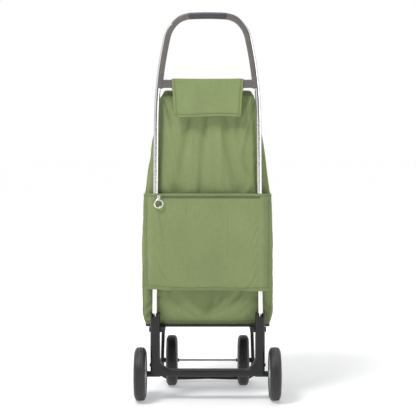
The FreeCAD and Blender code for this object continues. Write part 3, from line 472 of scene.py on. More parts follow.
def lathe(name, profile, centre, finish, sharp=35, segments=96):
    """A closed (along X, radius) outline turned about the X axis through a centre."""
    angles = np.linspace(0, 2 * math.pi, segments, endpoint=False)
    points = np.zeros((len(profile), segments, 3))
    for i, (x, radius) in enumerate(profile):
        points[i, :, 0] = centre[0] + x
        points[i, :, 1] = centre[1] + radius * np.cos(angles)
        points[i, :, 2] = centre[2] + radius * np.sin(angles)
    return skin(name, points, finish, wrap=(True, True), sharp=sharp)


def joined(name, parts):
    """Several meshes made into one piece."""
    with bpy.context.temp_override(active_object=parts[0], selected_editable_objects=parts):
        bpy.ops.object.join()
    parts[0].name = name
    return parts[0]


def facing_out(obj):
    """Recalculate a closed mesh's normals to point outwards."""
    mesh = bmesh.new()
    mesh.from_mesh(obj.data)
    bmesh.ops.recalc_face_normals(mesh, faces=mesh.faces)
    mesh.to_mesh(obj.data)
    mesh.free()
    return obj


# ---- repeats by geometry nodes ------------------------------------------------------------------

def new_tree(name, inputs):
    """A geometry tree with a geometry socket and named inputs: (name, type, default)."""
    tree = bpy.data.node_groups.new(name, "GeometryNodeTree")
    tree.interface.new_socket("Geometry", in_out="INPUT", socket_type="NodeSocketGeometry")
    tree.interface.new_socket("Geometry", in_out="OUTPUT", socket_type="NodeSocketGeometry")
    for label, kind, default in inputs:
        socket = tree.interface.new_socket(label, in_out="INPUT", socket_type=kind)
        if default is not None:
            socket.default_value = default
    return tree


def spread_units(tree, source, points, direction, unit):
    """Units on points, each turned along its direction, made real and given the material.

    unit(tree, source) adds the unit's nodes and returns its mesh socket."""
    nodes, links = tree.nodes, tree.links
    turn = nodes.new("FunctionNodeAlignRotationToVector")
    turn.axis = "X"
    links.new(direction, turn.inputs["Vector"])
    spread = nodes.new("GeometryNodeInstanceOnPoints")
    links.new(points, spread.inputs["Points"])
    links.new(unit(tree, source), spread.inputs["Instance"])
    links.new(turn.outputs[0], spread.inputs["Rotation"])
    real = nodes.new("GeometryNodeRealizeInstances")
    links.new(spread.outputs[0], real.inputs[0])
    paint = nodes.new("GeometryNodeSetMaterial")
    links.new(real.outputs[0], paint.inputs["Geometry"])
    links.new(source.outputs["Material"], paint.inputs["Material"])
    out = nodes.new("NodeGroupOutput")
    links.new(paint.outputs[0], out.inputs[0])
    return tree


def repeat_tree(name, unit):
    """A tree that repeats a unit mesh along every line of the geometry."""
    tree = new_tree(name, [("Pitch", "NodeSocketFloat", 0.004), ("Length", "NodeSocketFloat", 0.003),
                           ("Width", "NodeSocketFloat", 0.001), ("Height", "NodeSocketFloat", 0.001),
                           ("Material", "NodeSocketMaterial", None)])
    nodes, links = tree.nodes, tree.links
    source = nodes.new("NodeGroupInput")
    curve = nodes.new("GeometryNodeMeshToCurve")
    links.new(source.outputs["Geometry"], curve.inputs[0])
    sample = nodes.new("GeometryNodeResampleCurve")
    sample.mode = "LENGTH"
    links.new(curve.outputs[0], sample.inputs["Curve"])
    links.new(source.outputs["Pitch"], sample.inputs["Length"])
    tangent = nodes.new("GeometryNodeInputTangent")
    return spread_units(tree, source, sample.outputs[0], tangent.outputs[0], unit)


def grown(name, mesh, tree, values):
    """A plain object made by a geometry tree from a mesh, with the tree's inputs by name."""
    guide = placed(name + "_guide", mesh)
    modifier = guide.modifiers.new("repeat", "NODES")
    modifier.node_group = tree
    for item in tree.interface.items_tree:
        if item.in_out == "INPUT" and item.name in values:
            modifier[item.identifier] = values[item.name]
    guide.update_tag()
    ready = guide.evaluated_get(bpy.context.evaluated_depsgraph_get())
    result = bpy.data.meshes.new_from_object(ready)
    result.name = name
    bpy.data.objects.remove(guide)
    return placed(name, result)


def scaled_unit(tree, source, mesh_socket):
    """The unit mesh scaled to the tree's length, width and height."""
    size = tree.nodes.new("ShaderNodeCombineXYZ")
    for number, label in enumerate(("Length", "Width", "Height")):
        tree.links.new(source.outputs[label], size.inputs[number])
    scaled = tree.nodes.new("GeometryNodeTransform")
    tree.links.new(mesh_socket, scaled.inputs["Geometry"])
    tree.links.new(size.outputs[0], scaled.inputs["Scale"])
    return scaled.outputs[0]


def stitch_unit(tree, source):
    """A stitch: a small rounded bead of unit size."""
    bead = tree.nodes.new("GeometryNodeMeshUVSphere")
    bead.inputs["Segments"].default_value = 6
    bead.inputs["Rings"].default_value = 5
    bead.inputs["Radius"].default_value = 0.5
    return scaled_unit(tree, source, bead.outputs["Mesh"])


def tooth_unit(tree, source):
    """A zip tooth or a wheel rib: a block of unit size."""
    block = tree.nodes.new("GeometryNodeMeshCube")
    block.inputs["Size"].default_value = (1, 1, 1)
    return scaled_unit(tree, source, block.outputs["Mesh"])


def along_lines(name, lines, unit, unit_size, pitch, finish):
    """One plain mesh of units repeated along polylines."""
    mesh = bpy.data.meshes.new(name + "_lines")
    points, edges = [], []
    for line in lines:
        start = len(points)
        points += [tuple(p) for p in line]
        edges += [(start + i, start + i + 1) for i in range(len(line) - 1)]
    mesh.from_pydata(points, edges, [])
    tree_name = "along_lines_" + unit.__name__
    tree = bpy.data.node_groups.get(tree_name) or repeat_tree(tree_name, unit)
    made = grown(name, mesh, tree, {"Pitch": pitch, "Length": unit_size[0], "Width": unit_size[1],
                                    "Height": unit_size[2], "Material": finish})
    made.data.shade_smooth()
    return made


def outer_face(points):
    """Where stitches lie: the cloth's outer face, a little proud of it."""
    return points + outward(points) * (sizes().cloth / 2 + sizes().thread * 0.2)


def stitching(name, lines, body):
    """Rows of sewing stitches along lines on the cloth."""
    size = sizes()
    made = along_lines(name, lines, stitch_unit, (size.stitch, size.thread, size.thread),
                       size.stitch + size.stitch_gap, material("sewing_thread", thread_paint))
    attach(made, body)
    return made


# ---- cloth ----------------------------------------------------------------------------------------

def settled(points, held, frames=22, bend=1.2, slack=0.012, limit=0.006, gravity=1.0,
            wrap=False):
    """The points of a cloth grid after it has settled under its own weight.

    held is 1 where a vertex can't move and 0 where it is free."""
    scene = bpy.context.scene
    cloth = skin("settling", points, cloth_material(), wrap=(False, wrap))
    group = cloth.vertex_groups.new(name="held")
    for index, weight in enumerate(held.ravel()):
        group.add([index], float(weight), "REPLACE")
    sim = cloth.modifiers.new("cloth", "CLOTH")
    cloth_settings = {"quality": 6, "mass": 0.2, "tension_stiffness": 20, "compression_stiffness": 12,
                      "shear_stiffness": 6, "bending_stiffness": bend, "air_damping": 2,
                      "shrink_min": -slack, "shrink_max": -slack, "vertex_group_mass": "held"}
    for key, value in cloth_settings.items():
        setattr(sim.settings, key, value)
    sim.settings.effector_weights.gravity = gravity
    sim.collision_settings.use_collision = False
    sim.point_cache.frame_start, sim.point_cache.frame_end = 1, frames
    for number in range(1, frames + 1):
        scene.frame_set(number)
    ready = cloth.evaluated_get(bpy.context.evaluated_depsgraph_get()).to_mesh()
    co = np.zeros(len(ready.vertices) * 3)
    ready.vertices.foreach_get("co", co)
    moved = co.reshape(points.shape) - points
    bpy.data.objects.remove(cloth)
    scene.frame_set(1)
    far = np.linalg.norm(moved, axis=2, keepdims=True)
    return points + moved * np.minimum(1, limit / np.maximum(far, 1e-9))


def declare_cloth(piece, body):
    """Set a cloth piece on its body."""
    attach(piece, body)


# The bag's half width and depth at each height, from its base to the rear panel's top edge.
BAG_LOW, BAG_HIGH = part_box("bag_base_board")[0].z - 0.0028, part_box("bag_shell")[1].z
BAG_HALF = ((BAG_LOW, 0.1695), (0.217, 0.1742), (0.2495, 0.1796), (0.35, 0.179), (0.414, 0.1776),
            (0.545, 0.177), (0.577, 0.1716), (0.642, 0.162), (0.707, 0.152), (0.772, 0.142),
            (0.82, 0.134), (0.838, 0.127), (BAG_HIGH, 0.1215))
BAG_DEEP = ((BAG_LOW, 0.226), (0.30, 0.236), (0.43, 0.240), (0.549, 0.2385), (0.665, 0.227),
            (0.755, 0.2155), (BAG_HIGH, 0.205))
BAG_REAR = -0.086
REAR_CORNER, FRONT_CORNER = 0.014, 0.045
MOUTH_REAR, MOUTH_FRONT = 0.833, 0.790
TUBE_INNER = 0.130


def bag_outline(half, deep, counts):
    """Points and outward directions round the bag, from the rear panel's left end.

    half and deep are (rows, 1) arrays; counts are the spans of a panel, a rear corner, a side,
    a front corner and the front."""
    panel, rear_turn, side, front_turn, front = counts
    low, high = BAG_REAR, BAG_REAR + deep
    xs, ys, nx, ny = [], [], [], []

    def straight(x0, y0, x1, y1, count, out):
        t = np.arange(count) / count
        xs.append(x0 + (x1 - x0) * t)
        ys.append(y0 + (y1 - y0) * t)
        nx.append(np.full((half.shape[0], count), out[0], float))
        ny.append(np.full((half.shape[0], count), out[1], float))

    def corner(x, y, radius, first, count):
        a = math.radians(first) + np.arange(count) / count * math.pi / 2
        xs.append(x + radius * np.cos(a))
        ys.append(y + radius * np.sin(a))
        nx.append(np.broadcast_to(np.cos(a), (half.shape[0], count)))
        ny.append(np.broadcast_to(np.sin(a), (half.shape[0], count)))

    r, f = REAR_CORNER, FRONT_CORNER
    straight(-(half - r), low, half - r, low, panel, (0, -1))
    corner(half - r, low + r, r, -90, rear_turn)
    straight(half, low + r, half, high - f, side, (1, 0))
    corner(half - f, high - f, f, 0, front_turn)
    straight(half - f, high, -(half - f), high, front, (0, 1))
    corner(-(half - f), high - f, f, 90, front_turn)
    straight(-half, high - f, -half, low + r, side, (-1, 0))
    corner(-(half - r), low + r, r, 180, rear_turn)
    full = [np.concatenate([np.broadcast_to(a, (half.shape[0], a.shape[-1])) for a in group], axis=1)
            for group in (xs, ys, nx, ny)]
    return full


def bag_points(counts, rows):
    """The bag's smooth grid of points and outward directions, from the base up to its rim."""
    share = np.linspace(0, 1, rows)[:, None]
    share = share - 0.012 * np.sin(2 * math.pi * share)
    flat_z = BAG_LOW + (BAG_HIGH - BAG_LOW) * share
    x, y, nx, ny = bag_outline(smooth_line(BAG_HALF, flat_z), smooth_line(BAG_DEEP, flat_z), counts)
    # The rim is highest at the rear panel and falls towards the front.
    deepness = (y - BAG_REAR) / (smooth_line(BAG_DEEP, flat_z))
    rim = np.where(deepness < 0.06, BAG_HIGH - (BAG_HIGH - MOUTH_REAR) * ramp(deepness, 0, 0.06),
                   MOUTH_REAR - (MOUTH_REAR - MOUTH_FRONT) * (deepness - 0.06) / 0.94)
    z = BAG_LOW + (rim - BAG_LOW) * share
    points = np.stack([x, y, z], axis=2)
    out = np.stack([nx, ny, np.zeros_like(nx)], axis=2)
    return points, out


def valley(x, z, top, low, width, depth):
    """A soft valley along a slanted line from (x, z) at its top to (x, z) at its lower end."""
    share = (top[1] - z) / (top[1] - low[1])
    centre = top[0] + (low[0] - top[0]) * np.clip(share, -0.2, 1.2)
    reach = ramp(share, -0.15, 0.15) * ramp(share, 1.15, 0.85)
    wide = width * (0.7 + 0.6 * np.clip(share, 0, 1))
    return reach * (depth * hump(x, centre + 0.35 * wide, 1.6 * wide) * 0.35
                    - depth * hump(x, centre, wide))


# Folds under the flap and creases at the lower corners, each with its upper and lower end, as
# (x, height), its width and how deep it is beside the others.
FOLDS = (((-0.049, 0.80), (-0.086, 0.545), 0.013, 1.25), ((-0.006, 0.80), (-0.019, 0.545), 0.011, 1.0),
         ((0.036, 0.80), (0.095, 0.545), 0.014, 1.25), ((0.070, 0.79), (0.118, 0.60), 0.010, 0.6),
         ((-0.118, 0.825), (-0.088, 0.745), 0.010, 0.9))
CREASES = (((0.128, 0.292), (0.176, 0.243), 0.007, 1.0), ((0.140, 0.262), (0.170, 0.216), 0.006, 0.8),
           ((0.104, 0.250), (0.126, 0.212), 0.006, 0.5))


def bag_folds(points, out):
    """How far each point of the bag moves outwards."""
    x, z = points[..., 0], points[..., 2]
    size = sizes().fold
    rear = ramp(-out[..., 1], 0.6, 0.95)
    front = ramp(out[..., 1], 0.3, 0.95)
    side = ramp(np.abs(out[..., 0]), 0.5, 0.95)
    up = (z - BAG_LOW) / (BAG_HIGH - BAG_LOW)
    tall = ramp(z, BAG_LOW, BAG_LOW + 0.03) * ramp(z, BAG_HIGH, BAG_HIGH - 0.02)
    # Between the tubes the rear panel stands out towards the user, and dips beside them.
    edge = TUBE_INNER - 0.002 + 0.016 * ramp(z, 0.84, 0.3)
    swell = 0.009 * ramp(np.abs(x), edge, edge - 0.009) - 0.003 * hump(np.abs(x), edge + 0.003, 0.006)
    # Folds fan out from under the hanging flap towards the pocket.
    folds = sum(valley(x, z, *fold) for fold in FOLDS)
    # Below the pocket the cloth sinks in the middle and beside the tubes.
    below = ramp(z, 0.345, 0.31) * ramp(z, BAG_LOW + 0.008, BAG_LOW + 0.06)
    sink = -1.5 * hump(x, 0.0, 0.010 + 0.30 * np.maximum(z - 0.245, 0))
    rear_shape = rear * (swell * tall + size * folds + size * below * sink)
    # The sides and the front are gathered a little at the rim and belly out lower down.
    round_it = np.cumsum(np.linalg.norm(np.diff(points, axis=1, prepend=points[:, :1]), axis=2),
                         axis=1)
    gathers = np.sin(round_it * 2 * math.pi / 0.058 + 1.5 * np.sin(round_it * 9))
    gathered = (front + side) * 0.0022 * gathers * ramp(up, 0.45, 0.9) * ramp(z, BAG_HIGH, 0.77)
    belly = front * 0.007 * np.cos(np.clip(x / 0.18, -1, 1) * math.pi / 2) * ramp(z, 0.2, 0.33) * ramp(
        z, 0.66, 0.5)
    # Creases fan out of the lower corners over the rear panel.
    creases = sum(valley(np.abs(x), z, *crease) for crease in CREASES)
    ripples = 0.0026 * ripple(points, 0.085, 1) + 0.0012 * ripple(points, 0.036, 2)
    silhouette = 1 - 0.75 * side
    return (rear_shape + gathered + belly + rear * 0.0055 * creases + ripples * tall * silhouette)


class TROLLEY_OT_bag(bpy.types.Operator):
    """Sew the cloth bag: a shell with soft folds, a turned rim, seams and a dark base hem"""
    bl_idname = "trolley.bag"
    bl_label = "Bag"
    spans = (68, 5, 36, 9, 52)

    def execute(self, context):
        size = sizes()
        points, out = bag_points(self.spans, 120)
        points = points + out * bag_folds(points, out)[..., None]
        # Below the pocket the rear panel leans in under the load.
        points[..., 1] += 0.009 * ramp(points[..., 2], 0.32, 0.215) * ramp(
            points[..., 1], BAG_REAR + 0.08, BAG_REAR)
        held = np.zeros(points.shape[:2])
        held[:3], held[-3:] = 1, 1
        held[(points[..., 1] < BAG_REAR + 0.012) & (np.abs(points[..., 0]) > TUBE_INNER - 0.002)] = 0.6
        points = settled(points, held, frames=18, slack=0.006, limit=0.004, gravity=0.6, wrap=True)
        # The floor of the bag: the base outline drawn in to the middle.
        base = points[0]
        centre = base.mean(axis=0) + Vector((0, 0, 0.0004))
        floor = [centre + (base - centre) * share for share in (0.02, 0.25, 0.5, 0.75, 0.93, 0.985)]
        whole = np.concatenate([np.array(floor), points])
        # Painted shade beside the seams, carried to the cloth's colour by the seam attribute.
        seam = self.seam_shade(points)
        seam = np.concatenate([np.zeros((len(floor), seam.shape[1])), seam])
        shell = skin("bag_cloth", whole, cloth_material(), wrap=(False, True), seam=seam)
        close_middle(shell, points.shape[1])
        thickened(shell, size.cloth, -1.0)
        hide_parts("bag_shell")
        declare_cloth(shell, "chassis")
        self.trims(points, out)
        return {"FINISHED"}

    def seam_shade(self, points):
        """Painted shade of the puckers under the rim's hem, at the corner seams and over the base."""
        z = points[..., 2]
        rim = points[-1:, :, 2]
        shade = 0.5 * hump(rim - z, 0.010, 0.0022) + 0.7 * hump(z, BAG_LOW + 0.009, 0.003)
        for column in (self.spans[0] + 5, -6):
            shade[:, column] += 0.6
        return shade

    def trims(self, points, out):
        """The rim's binding, the base hem, the corner seams and their stitches."""
        panel = self.spans[0]
        rim = tube_along("bag_rim_binding", points[-1], 0.0019, hem_material(), closed=True)
        rows = [points[0] + out[0] * 0.0008 + np.array([0, 0, drop])
                for drop in (-0.0042, -0.0022, 0.0004, 0.0030)]
        hem = thickened(skin("bag_base_hem", np.array(rows), material("base_hem", piping_paint),
                             wrap=(False, True)), 0.0024)
        seams = []
        for column in (panel + 2, -3):
            line = points[2:-2, column] + out[2:-2, column] * 0.0002
            seams.append(tube_along("bag_seam", line, 0.0012, hem_material(), closed=False))
        seam = joined("bag_corner_seams", seams)
        for piece in (rim, hem, seam):
            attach(piece, "chassis")
        proud = sizes().thread * 0.25
        base = points[2] + out[2] * proud
        below_rim = Vector((0, -proud, -0.009))
        lines = [list(base) + [base[0]], [p + below_rim for p in points[-1, :panel + 1]]]
        for column in (panel + 8, -9):
            lines.append(list(points[3:-3, column] + out[3:-3, column] * proud))
        stitching("bag_stitches", lines, "chassis")


def close_middle(obj, count):
    """Close a skin's first ring with one face."""
    mesh = bmesh.new()
    mesh.from_mesh(obj.data)
    mesh.verts.ensure_lookup_table()
    mesh.faces.new([mesh.verts[i] for i in range(count - 1, -1, -1)])
    mesh.to_mesh(obj.data)
    mesh.free()


def tube_along(name, line, radius, finish, closed, sides=8):
    """A round binding along a line of points."""
    line = np.asarray(line, float)
    if closed:
        ahead = np.roll(line, -1, axis=0) - np.roll(line, 1, axis=0)
    else:
        ahead = np.gradient(line, axis=0)
    ahead = ahead / np.linalg.norm(ahead, axis=1, keepdims=True)
    pick = np.where(np.abs(ahead[:, 2:3]) > 0.8, np.array([[0.0, 1.0, 0.0]]),
                    np.array([[0.0, 0.0, 1.0]]))
    first = np.cross(ahead, pick)
    first = first / np.linalg.norm(first, axis=1, keepdims=True)
    second = np.cross(ahead, first)
    points = np.zeros((len(line), sides, 3))
    for side in range(sides):
        a = 2 * math.pi * side / sides
        points[:, side] = line + radius * (math.cos(a) * first + math.sin(a) * second)
    made = skin(name, points, finish, wrap=(closed, True), caps=not closed)
    return facing_out(made)


# ---- pocket and zip ---------------------------------------------------------------------------

def pocket_points(columns, rows):
    """The rear pocket's cloth: sewn at both sides, drawn over the tubes, slack between them."""
    low_corner, high_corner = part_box("rear_pocket")
    half = high_corner.x
    across = np.linspace(-1, 1, columns)[None, :]
    share = np.linspace(0, 1, rows)[:, None]
    x = half * across * (1 + 0.006 * np.sin(share * math.pi))
    z = low_corner.z + (high_corner.z - low_corner.z) * share + 0 * x
    z = z - 0.0026 * across * (1 - share) + 0.0012 * np.sin(across * 5 + 1) * (1 - share) ** 3
    front_y = low_corner.y + 0.0008
    reach = np.abs(x)
    over_tube = front_y + 0.0145 * ramp(reach, 0.150, half) ** 0.8
    between = ramp(reach, 0.139, 0.112)
    y = over_tube + between * (0.0025 + 0.0035 * np.sin(share * math.pi) ** 0.7)
    y = y + between * (0.0040 * hump(x, -0.075 + 0.03 * share, 0.026) * ramp(share, 0.1, 0.6)
                       + 0.0045 * hump(x, 0.085 - 0.02 * share, 0.022) * ramp(share, 0.0, 0.5)
                       + 0.0030 * hump(x, 0.012 + 0.03 * share, 0.020) * ramp(share, 0.2, 0.8))
    # The top hem is drawn tight by the zip and the lower hem stands off the bag.
    y = y - 0.0030 * between * ramp(share, 0.10, 0.0)
    points = np.stack([x + 0 * z, y + 0 * z, z], axis=2)
    free = ramp(half - reach, 0.0, 0.03) * np.sin(share * math.pi) ** 0.5
    y_ripple = 0.0034 * ripple(points * np.array([1, 1, 0.6]), 0.075, 4) + 0.0012 * ripple(
        points, 0.03, 5)
    points[..., 1] += y_ripple * free
    return points


def hemmed(points, widths, rise, inner=None):
    """Raise the cloth where it is turned over at its edges: widths are left, right, low, high.

    Gives the points and the painted shade of the puckers along the hems; inner is a second row of side
    stitches, with its own painted shade."""
    normal = outward(points)
    lift = np.zeros(points.shape[:2])
    shade = np.zeros(points.shape[:2])
    from_left = np.cumsum(np.linalg.norm(np.diff(points, axis=1, prepend=points[:, :1]), axis=2),
                          axis=1)
    from_low = np.cumsum(np.linalg.norm(np.diff(points, axis=0, prepend=points[:1]), axis=2), axis=0)
    places = (from_left, from_left[:, -1:] - from_left, from_low, from_low[-1:] - from_low)
    for number, (place, width) in enumerate(zip(places, widths)):
        if width:
            lift = np.maximum(lift, ramp(place, width + 0.0009, width - 0.0009))
            # Painted shade along each hem's edge, and along the inner row of side stitches.
            shade = np.maximum(shade, 0.5 * hump(place, width, 0.0024))
            if inner and number < 2:
                shade = np.maximum(shade, 0.4 * hump(place, inner, 0.002))
    return points + normal * (rise * lift)[..., None], shade


class TROLLEY_OT_pocket(bpy.types.Operator):
    """Sew the rear pocket over the tubes, with its hems, stitches and zip"""
    bl_idname = "trolley.pocket"
    bl_label = "Rear pocket"

    def execute(self, context):
        size = sizes()
        points = pocket_points(150, 112)
        held = np.zeros(points.shape[:2])
        held[:, :2], held[:, -2:], held[-2:] = 1, 1, 1
        held[(np.abs(points[..., 0]) > 0.138) & (np.abs(points[..., 0]) < 0.153)] = 0.85
        held[0] = 0.35
        points = settled(points, held, frames=16, slack=0.008, limit=0.004, gravity=0.8, bend=0.8)
        points, shade = hemmed(points, (0.0105, 0.0105, 0.0085, 0.006), 0.0007, 0.0045)
        piece = skin("pocket_cloth", points, cloth_material(), seam=shade)
        thickened(piece, size.cloth)
        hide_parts("rear_pocket")
        declare_cloth(piece, "chassis")
        self.seams(points)
        self.zip(points)
        return {"FINISHED"}

    def seams(self, points):
        """Side seams with two rows of stitches, and one row along each hem."""
        shell = outer_face(points)
        columns = points.shape[1]
        lines = []
        for column in (2, 5, columns - 6, columns - 3):
            lines.append(shell[1:-1, column])
        lines.append(shell[3, 3:-3])
        lines.append(shell[-2, 3:-3])
        stitching("pocket_stitches", lines, "chassis")

    def zip(self, points):
        """The zip: its woven tape, and teeth along the line."""
        low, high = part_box("pocket_zip")
        z = (low.z + high.z) / 2
        normal = outward(points)
        row = int(np.argmin(np.abs(points[:, 75, 2] - z)))
        inside = (points[row, :, 0] > low.x) & (points[row, :, 0] < high.x)
        line = points[row, inside] + normal[row, inside] * 0.0011
        line[:, 2] = z
        groove = material("zip_tape", zip_tape_paint)
        tape = np.stack([line + np.array([0, 0.0001, offset]) for offset in
                         (-0.0048, -0.0016, 0.0016, 0.0048)])
        tape_piece = thickened(skin("zip_tapes", tape, groove), 0.0006)
        teeth_line = line + np.array([0, -0.0004, 0])
        tooth = material("zip_teeth", moulded_paint((0.05, 0.062, 0.03), 0.4, 900, 0.0001))
        teeth = along_lines("zip_teeth", [teeth_line], tooth_unit, (0.0012, 0.0018, 0.0023),
                            sizes().tooth_pitch, tooth)
        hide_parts("pocket_zip")
        for piece in (tape_piece, teeth):
            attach(piece, "chassis")


def zip_tape_paint(tree):
    """Woven tape, darker than the cloth."""
    return cloth_paint(tree, 0.82)


# ---- hanging flap -----------------------------------------------------------------------------

class TROLLEY_OT_flap(bpy.types.Operator):
    """Hang the flap over the crossbar, with turned and stitched edges"""
    bl_idname = "trolley.flap"
    bl_label = "Hanging flap"

    def execute(self, context):
        size = sizes()
        low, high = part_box("hanging_flap")
        thick = 0.0009
        inner_y, outer_y = high.y - thick, low.y + thick
        top_z = high.z - thick
        corner = 0.0045
        side_line = self.fold_line(inner_y, outer_y, CROSSBAR_MID - 0.015, top_z, low.z, corner)
        columns = 90
        points = np.zeros((len(side_line), columns, 3))
        across = np.linspace(-1, 1, columns)
        for i, (y, z) in enumerate(side_line):
            hanging = y < outer_y + 0.002 and z < top_z - corner
            down = np.clip((top_z - z) / (top_z - low.z), 0, 1) if y < -0.1 else 0.0
            half = high.x - (high.x - 0.0895) * down ** 0.9 if hanging else high.x
            points[i, :, 0] = across * half
            points[i, :, 1] = y
            points[i, :, 2] = z
            if hanging:
                wave = (0.0022 * np.sin(across * 4.2 + 0.6) + 0.0016 * np.sin(across * 7.7 + 2.1)
                        + 0.0022 * across ** 2 - 0.003)
                points[i, :, 1] += wave * down ** 1.3
                points[i, :, 2] += (0.0018 * np.sin(across * 3.1 + 0.4)) * down
            else:
                points[i, :, 2] += 0.0008 * across ** 2 * (1 if z > top_z - corner else 0)
        bumps = 0.0026 * ripple(points, 0.05, 9) + 0.0009 * ripple(points, 0.02, 11)
        free = np.array([np.clip((top_z - z) / 0.05, 0, 1) if y < -0.1 else 0.0
                         for y, z in side_line])[:, None]
        points[..., 1] -= np.abs(bumps) * free
        points, shade = hemmed(points, (0.0068, 0.0068, 0, 0.0068), 0.0006)
        piece = skin("flap_cloth", points, cloth_material(), seam=shade)
        thickened(piece, size.cloth)
        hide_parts("hanging_flap")
        declare_cloth(piece, "chassis")
        shell = outer_face(points)
        hem_row = int(np.argmin(np.abs(shell[:, 45, 2] - (low.z + 0.0085)) + (shell[:, 45, 1] > -0.105)))
        lines = [shell[hem_row, 2:-2]]
        for column in (3, columns - 4):
            lines.append(shell[:-1, column][shell[:-1, column, 1] < -0.1])
        stitching("flap_stitches", lines, "chassis")
        return {"FINISHED"}

    def fold_line(self, inner_y, outer_y, inner_z, top_z, low_z, corner):
        """The flap's side view: up the inner leaf, over the bar and down the outer leaf."""
        line = [(inner_y, z) for z in np.linspace(inner_z, top_z - corner, 10)]
        for first, cy in ((0, inner_y - corner), (90, outer_y + corner)):
            for step in range(1, 8):
                a = math.radians(first + 90 * step / 8)
                line.append((cy + corner * math.cos(a), top_z - corner + corner * math.sin(a)))
            if first == 0:
                line += [(y, top_z) for y in np.linspace(inner_y - corner, outer_y + corner, 6)]
        line += [(outer_y, z) for z in np.linspace(top_z - corner, low_z, 64)]
        return np.array(line)


# ---- lid ----------------------------------------------------------------------------------------

class TROLLEY_OT_lid(bpy.types.Operator):
    """Lay the cloth lid over the mouth, with a front skirt and a bound edge"""
    bl_idname = "trolley.lid"
    bl_label = "Lid"

    def execute(self, context):
        size = sizes()
        low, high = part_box("bag_lid")
        cord = 0.0009
        rear_y, rear_z = low.y + cord, high.z - cord - size.cloth / 2
        front_y = high.y - 0.0045
        front_z = low.z + 0.1045
        bend = 0.012
        slope = (front_z - rear_z) / (front_y - rear_y)
        line = [(y, rear_z + slope * (y - rear_y)) for y in np.linspace(rear_y, front_y - bend, 60)]
        start = line[-1]
        for step in range(1, 9):
            t = step / 9
            ctrl = (front_y, front_z)
            end = (front_y + 0.001, front_z - bend)
            line.append(((1 - t) ** 2 * start[0] + 2 * t * (1 - t) * ctrl[0] + t * t * end[0],
                         (1 - t) ** 2 * start[1] + 2 * t * (1 - t) * ctrl[1] + t * t * end[1]))
        skirt = np.linspace(0, 1, 30)
        line += [(front_y + 0.001 + (high.y - 0.0012 - front_y - 0.001) * s,
                  front_z - bend - (front_z - bend - low.z) * s) for s in skirt]
        side_line = np.array(line)
        columns = 110
        across = np.linspace(-1, 1, columns)
        points = np.zeros((len(side_line), columns, 3))
        for i, (y, z) in enumerate(side_line):
            share = min(1.0, (y - rear_y) / (front_y - rear_y))
            half = 0.113 + (high.x - 0.113) * share
            points[i, :, 0] = across * half
            points[i, :, 1] = y
            points[i, :, 2] = z
            on_top = z > front_z - 0.002
            if on_top:
                dip = 0.006 * math.sin(math.pi * share) * np.cos(across * math.pi / 2) ** 0.8
                points[i, :, 2] -= dip
            else:
                down = (front_z - z) / (front_z - low.z)
                points[i, :, 1] += 0.0022 * down * (np.sin(across * 5 + 1) + 0.6 * np.sin(across * 11))
        points[..., 2] += 0.0010 * ripple(points, 0.05, 21)
        points, shade = hemmed(points, (0.009, 0.009, 0, 0.011), 0.0006)
        piece = skin("lid_cloth", points, cloth_material(), seam=shade)
        thickened(piece, size.cloth)
        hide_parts("bag_lid")
        declare_cloth(piece, "lid")
        shell = outer_face(points)
        lines = [shell[2:-2, 4], shell[2:-2, -5], shell[-5, 3:-3], shell[1, 3:-3]]
        stitching("lid_stitches", lines, "lid")
        edge = np.concatenate([points[:, 0], points[-1, 1:-1], points[::-1, -1]])
        binding = tube_along("lid_binding", edge, 0.0016, hem_material(), closed=False)
        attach(binding, "lid")
        return {"FINISHED"}


# ---- handle -------------------------------------------------------------------------------------

# The frame tube's bends: straight legs that lean in, a long side bend, a tight corner, a crown.
LEAN, SIDE_TURN, CORNER_TURN = math.radians(0.6), math.radians(12.1), math.radians(74.4)
SIDE_RADIUS, CORNER_RADIUS = 1.084, 0.0728
GRIP_HALF, GRIP_THICK, GRIP_DEEP = 0.054, 0.018, 0.027
SHELL_INSET, SHELL_DEEP = 0.012, 0.026
CROSSBAR_MID = (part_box("handle_screws")[0].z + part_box("handle_screws")[1].z) / 2
CROSSBAR_LOW, CROSSBAR_HIGH, CROSSBAR_DEEP = CROSSBAR_MID - 0.011, CROSSBAR_MID + 0.011, 0.020


def tube_line(low_z, spacing=0.003):
    """Points of the tube's centre line and their outward directions, (x, z, nx, nz), from the
    left leg at a height over the handle to the right leg."""
    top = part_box("hand_grip")[1].z - GRIP_THICK / 2
    foot_low, foot_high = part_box("frame_tube")
    foot_x, foot_z = foot_high.x - 0.007, foot_low.z
    corner_at = math.pi / 2 - LEAN - SIDE_TURN - CORNER_TURN
    side_at = corner_at + CORNER_TURN
    lean_at = side_at + SIDE_TURN
    corner_x = CORNER_RADIUS * (math.sin(side_at) - math.sin(corner_at))
    side_x = SIDE_RADIUS * (math.sin(lean_at) - math.sin(side_at))
    drop = (CORNER_RADIUS * (math.cos(corner_at) - math.cos(side_at))
            + SIDE_RADIUS * (math.cos(side_at) - math.cos(lean_at)))
    crown_x = ((foot_x - corner_x - side_x - math.tan(LEAN) * (top - drop - foot_z))
               / (1 - math.tan(LEAN) * math.tan(corner_at / 2)))
    crown = crown_x / math.sin(corner_at)
    half = []
    x, z, angle = 0.0, top, 0.0
    for radius, end in ((crown, corner_at), (CORNER_RADIUS, side_at), (SIDE_RADIUS, lean_at)):
        count = max(4, int(radius * (end - angle) / spacing))
        for step in range(count):
            a = angle + (end - angle) * step / count
            half.append((x + radius * (math.sin(a) - math.sin(angle)),
                         z - radius * (math.cos(angle) - math.cos(a)), math.sin(a), math.cos(a)))
        x += radius * (math.sin(end) - math.sin(angle))
        z -= radius * (math.cos(angle) - math.cos(end))
        angle = end
    for step in range(int((z - low_z) / spacing) + 1):
        down = z - (z - low_z) * step / int((z - low_z) / spacing)
        half.append((x + math.tan(LEAN) * (z - down), down, math.sin(angle), math.cos(angle)))
    left = [(-px, pz, -nx, nz) for px, pz, nx, nz in half[:0:-1]]
    return np.array([p for p in left + half if p[1] >= low_z - 1e-6])


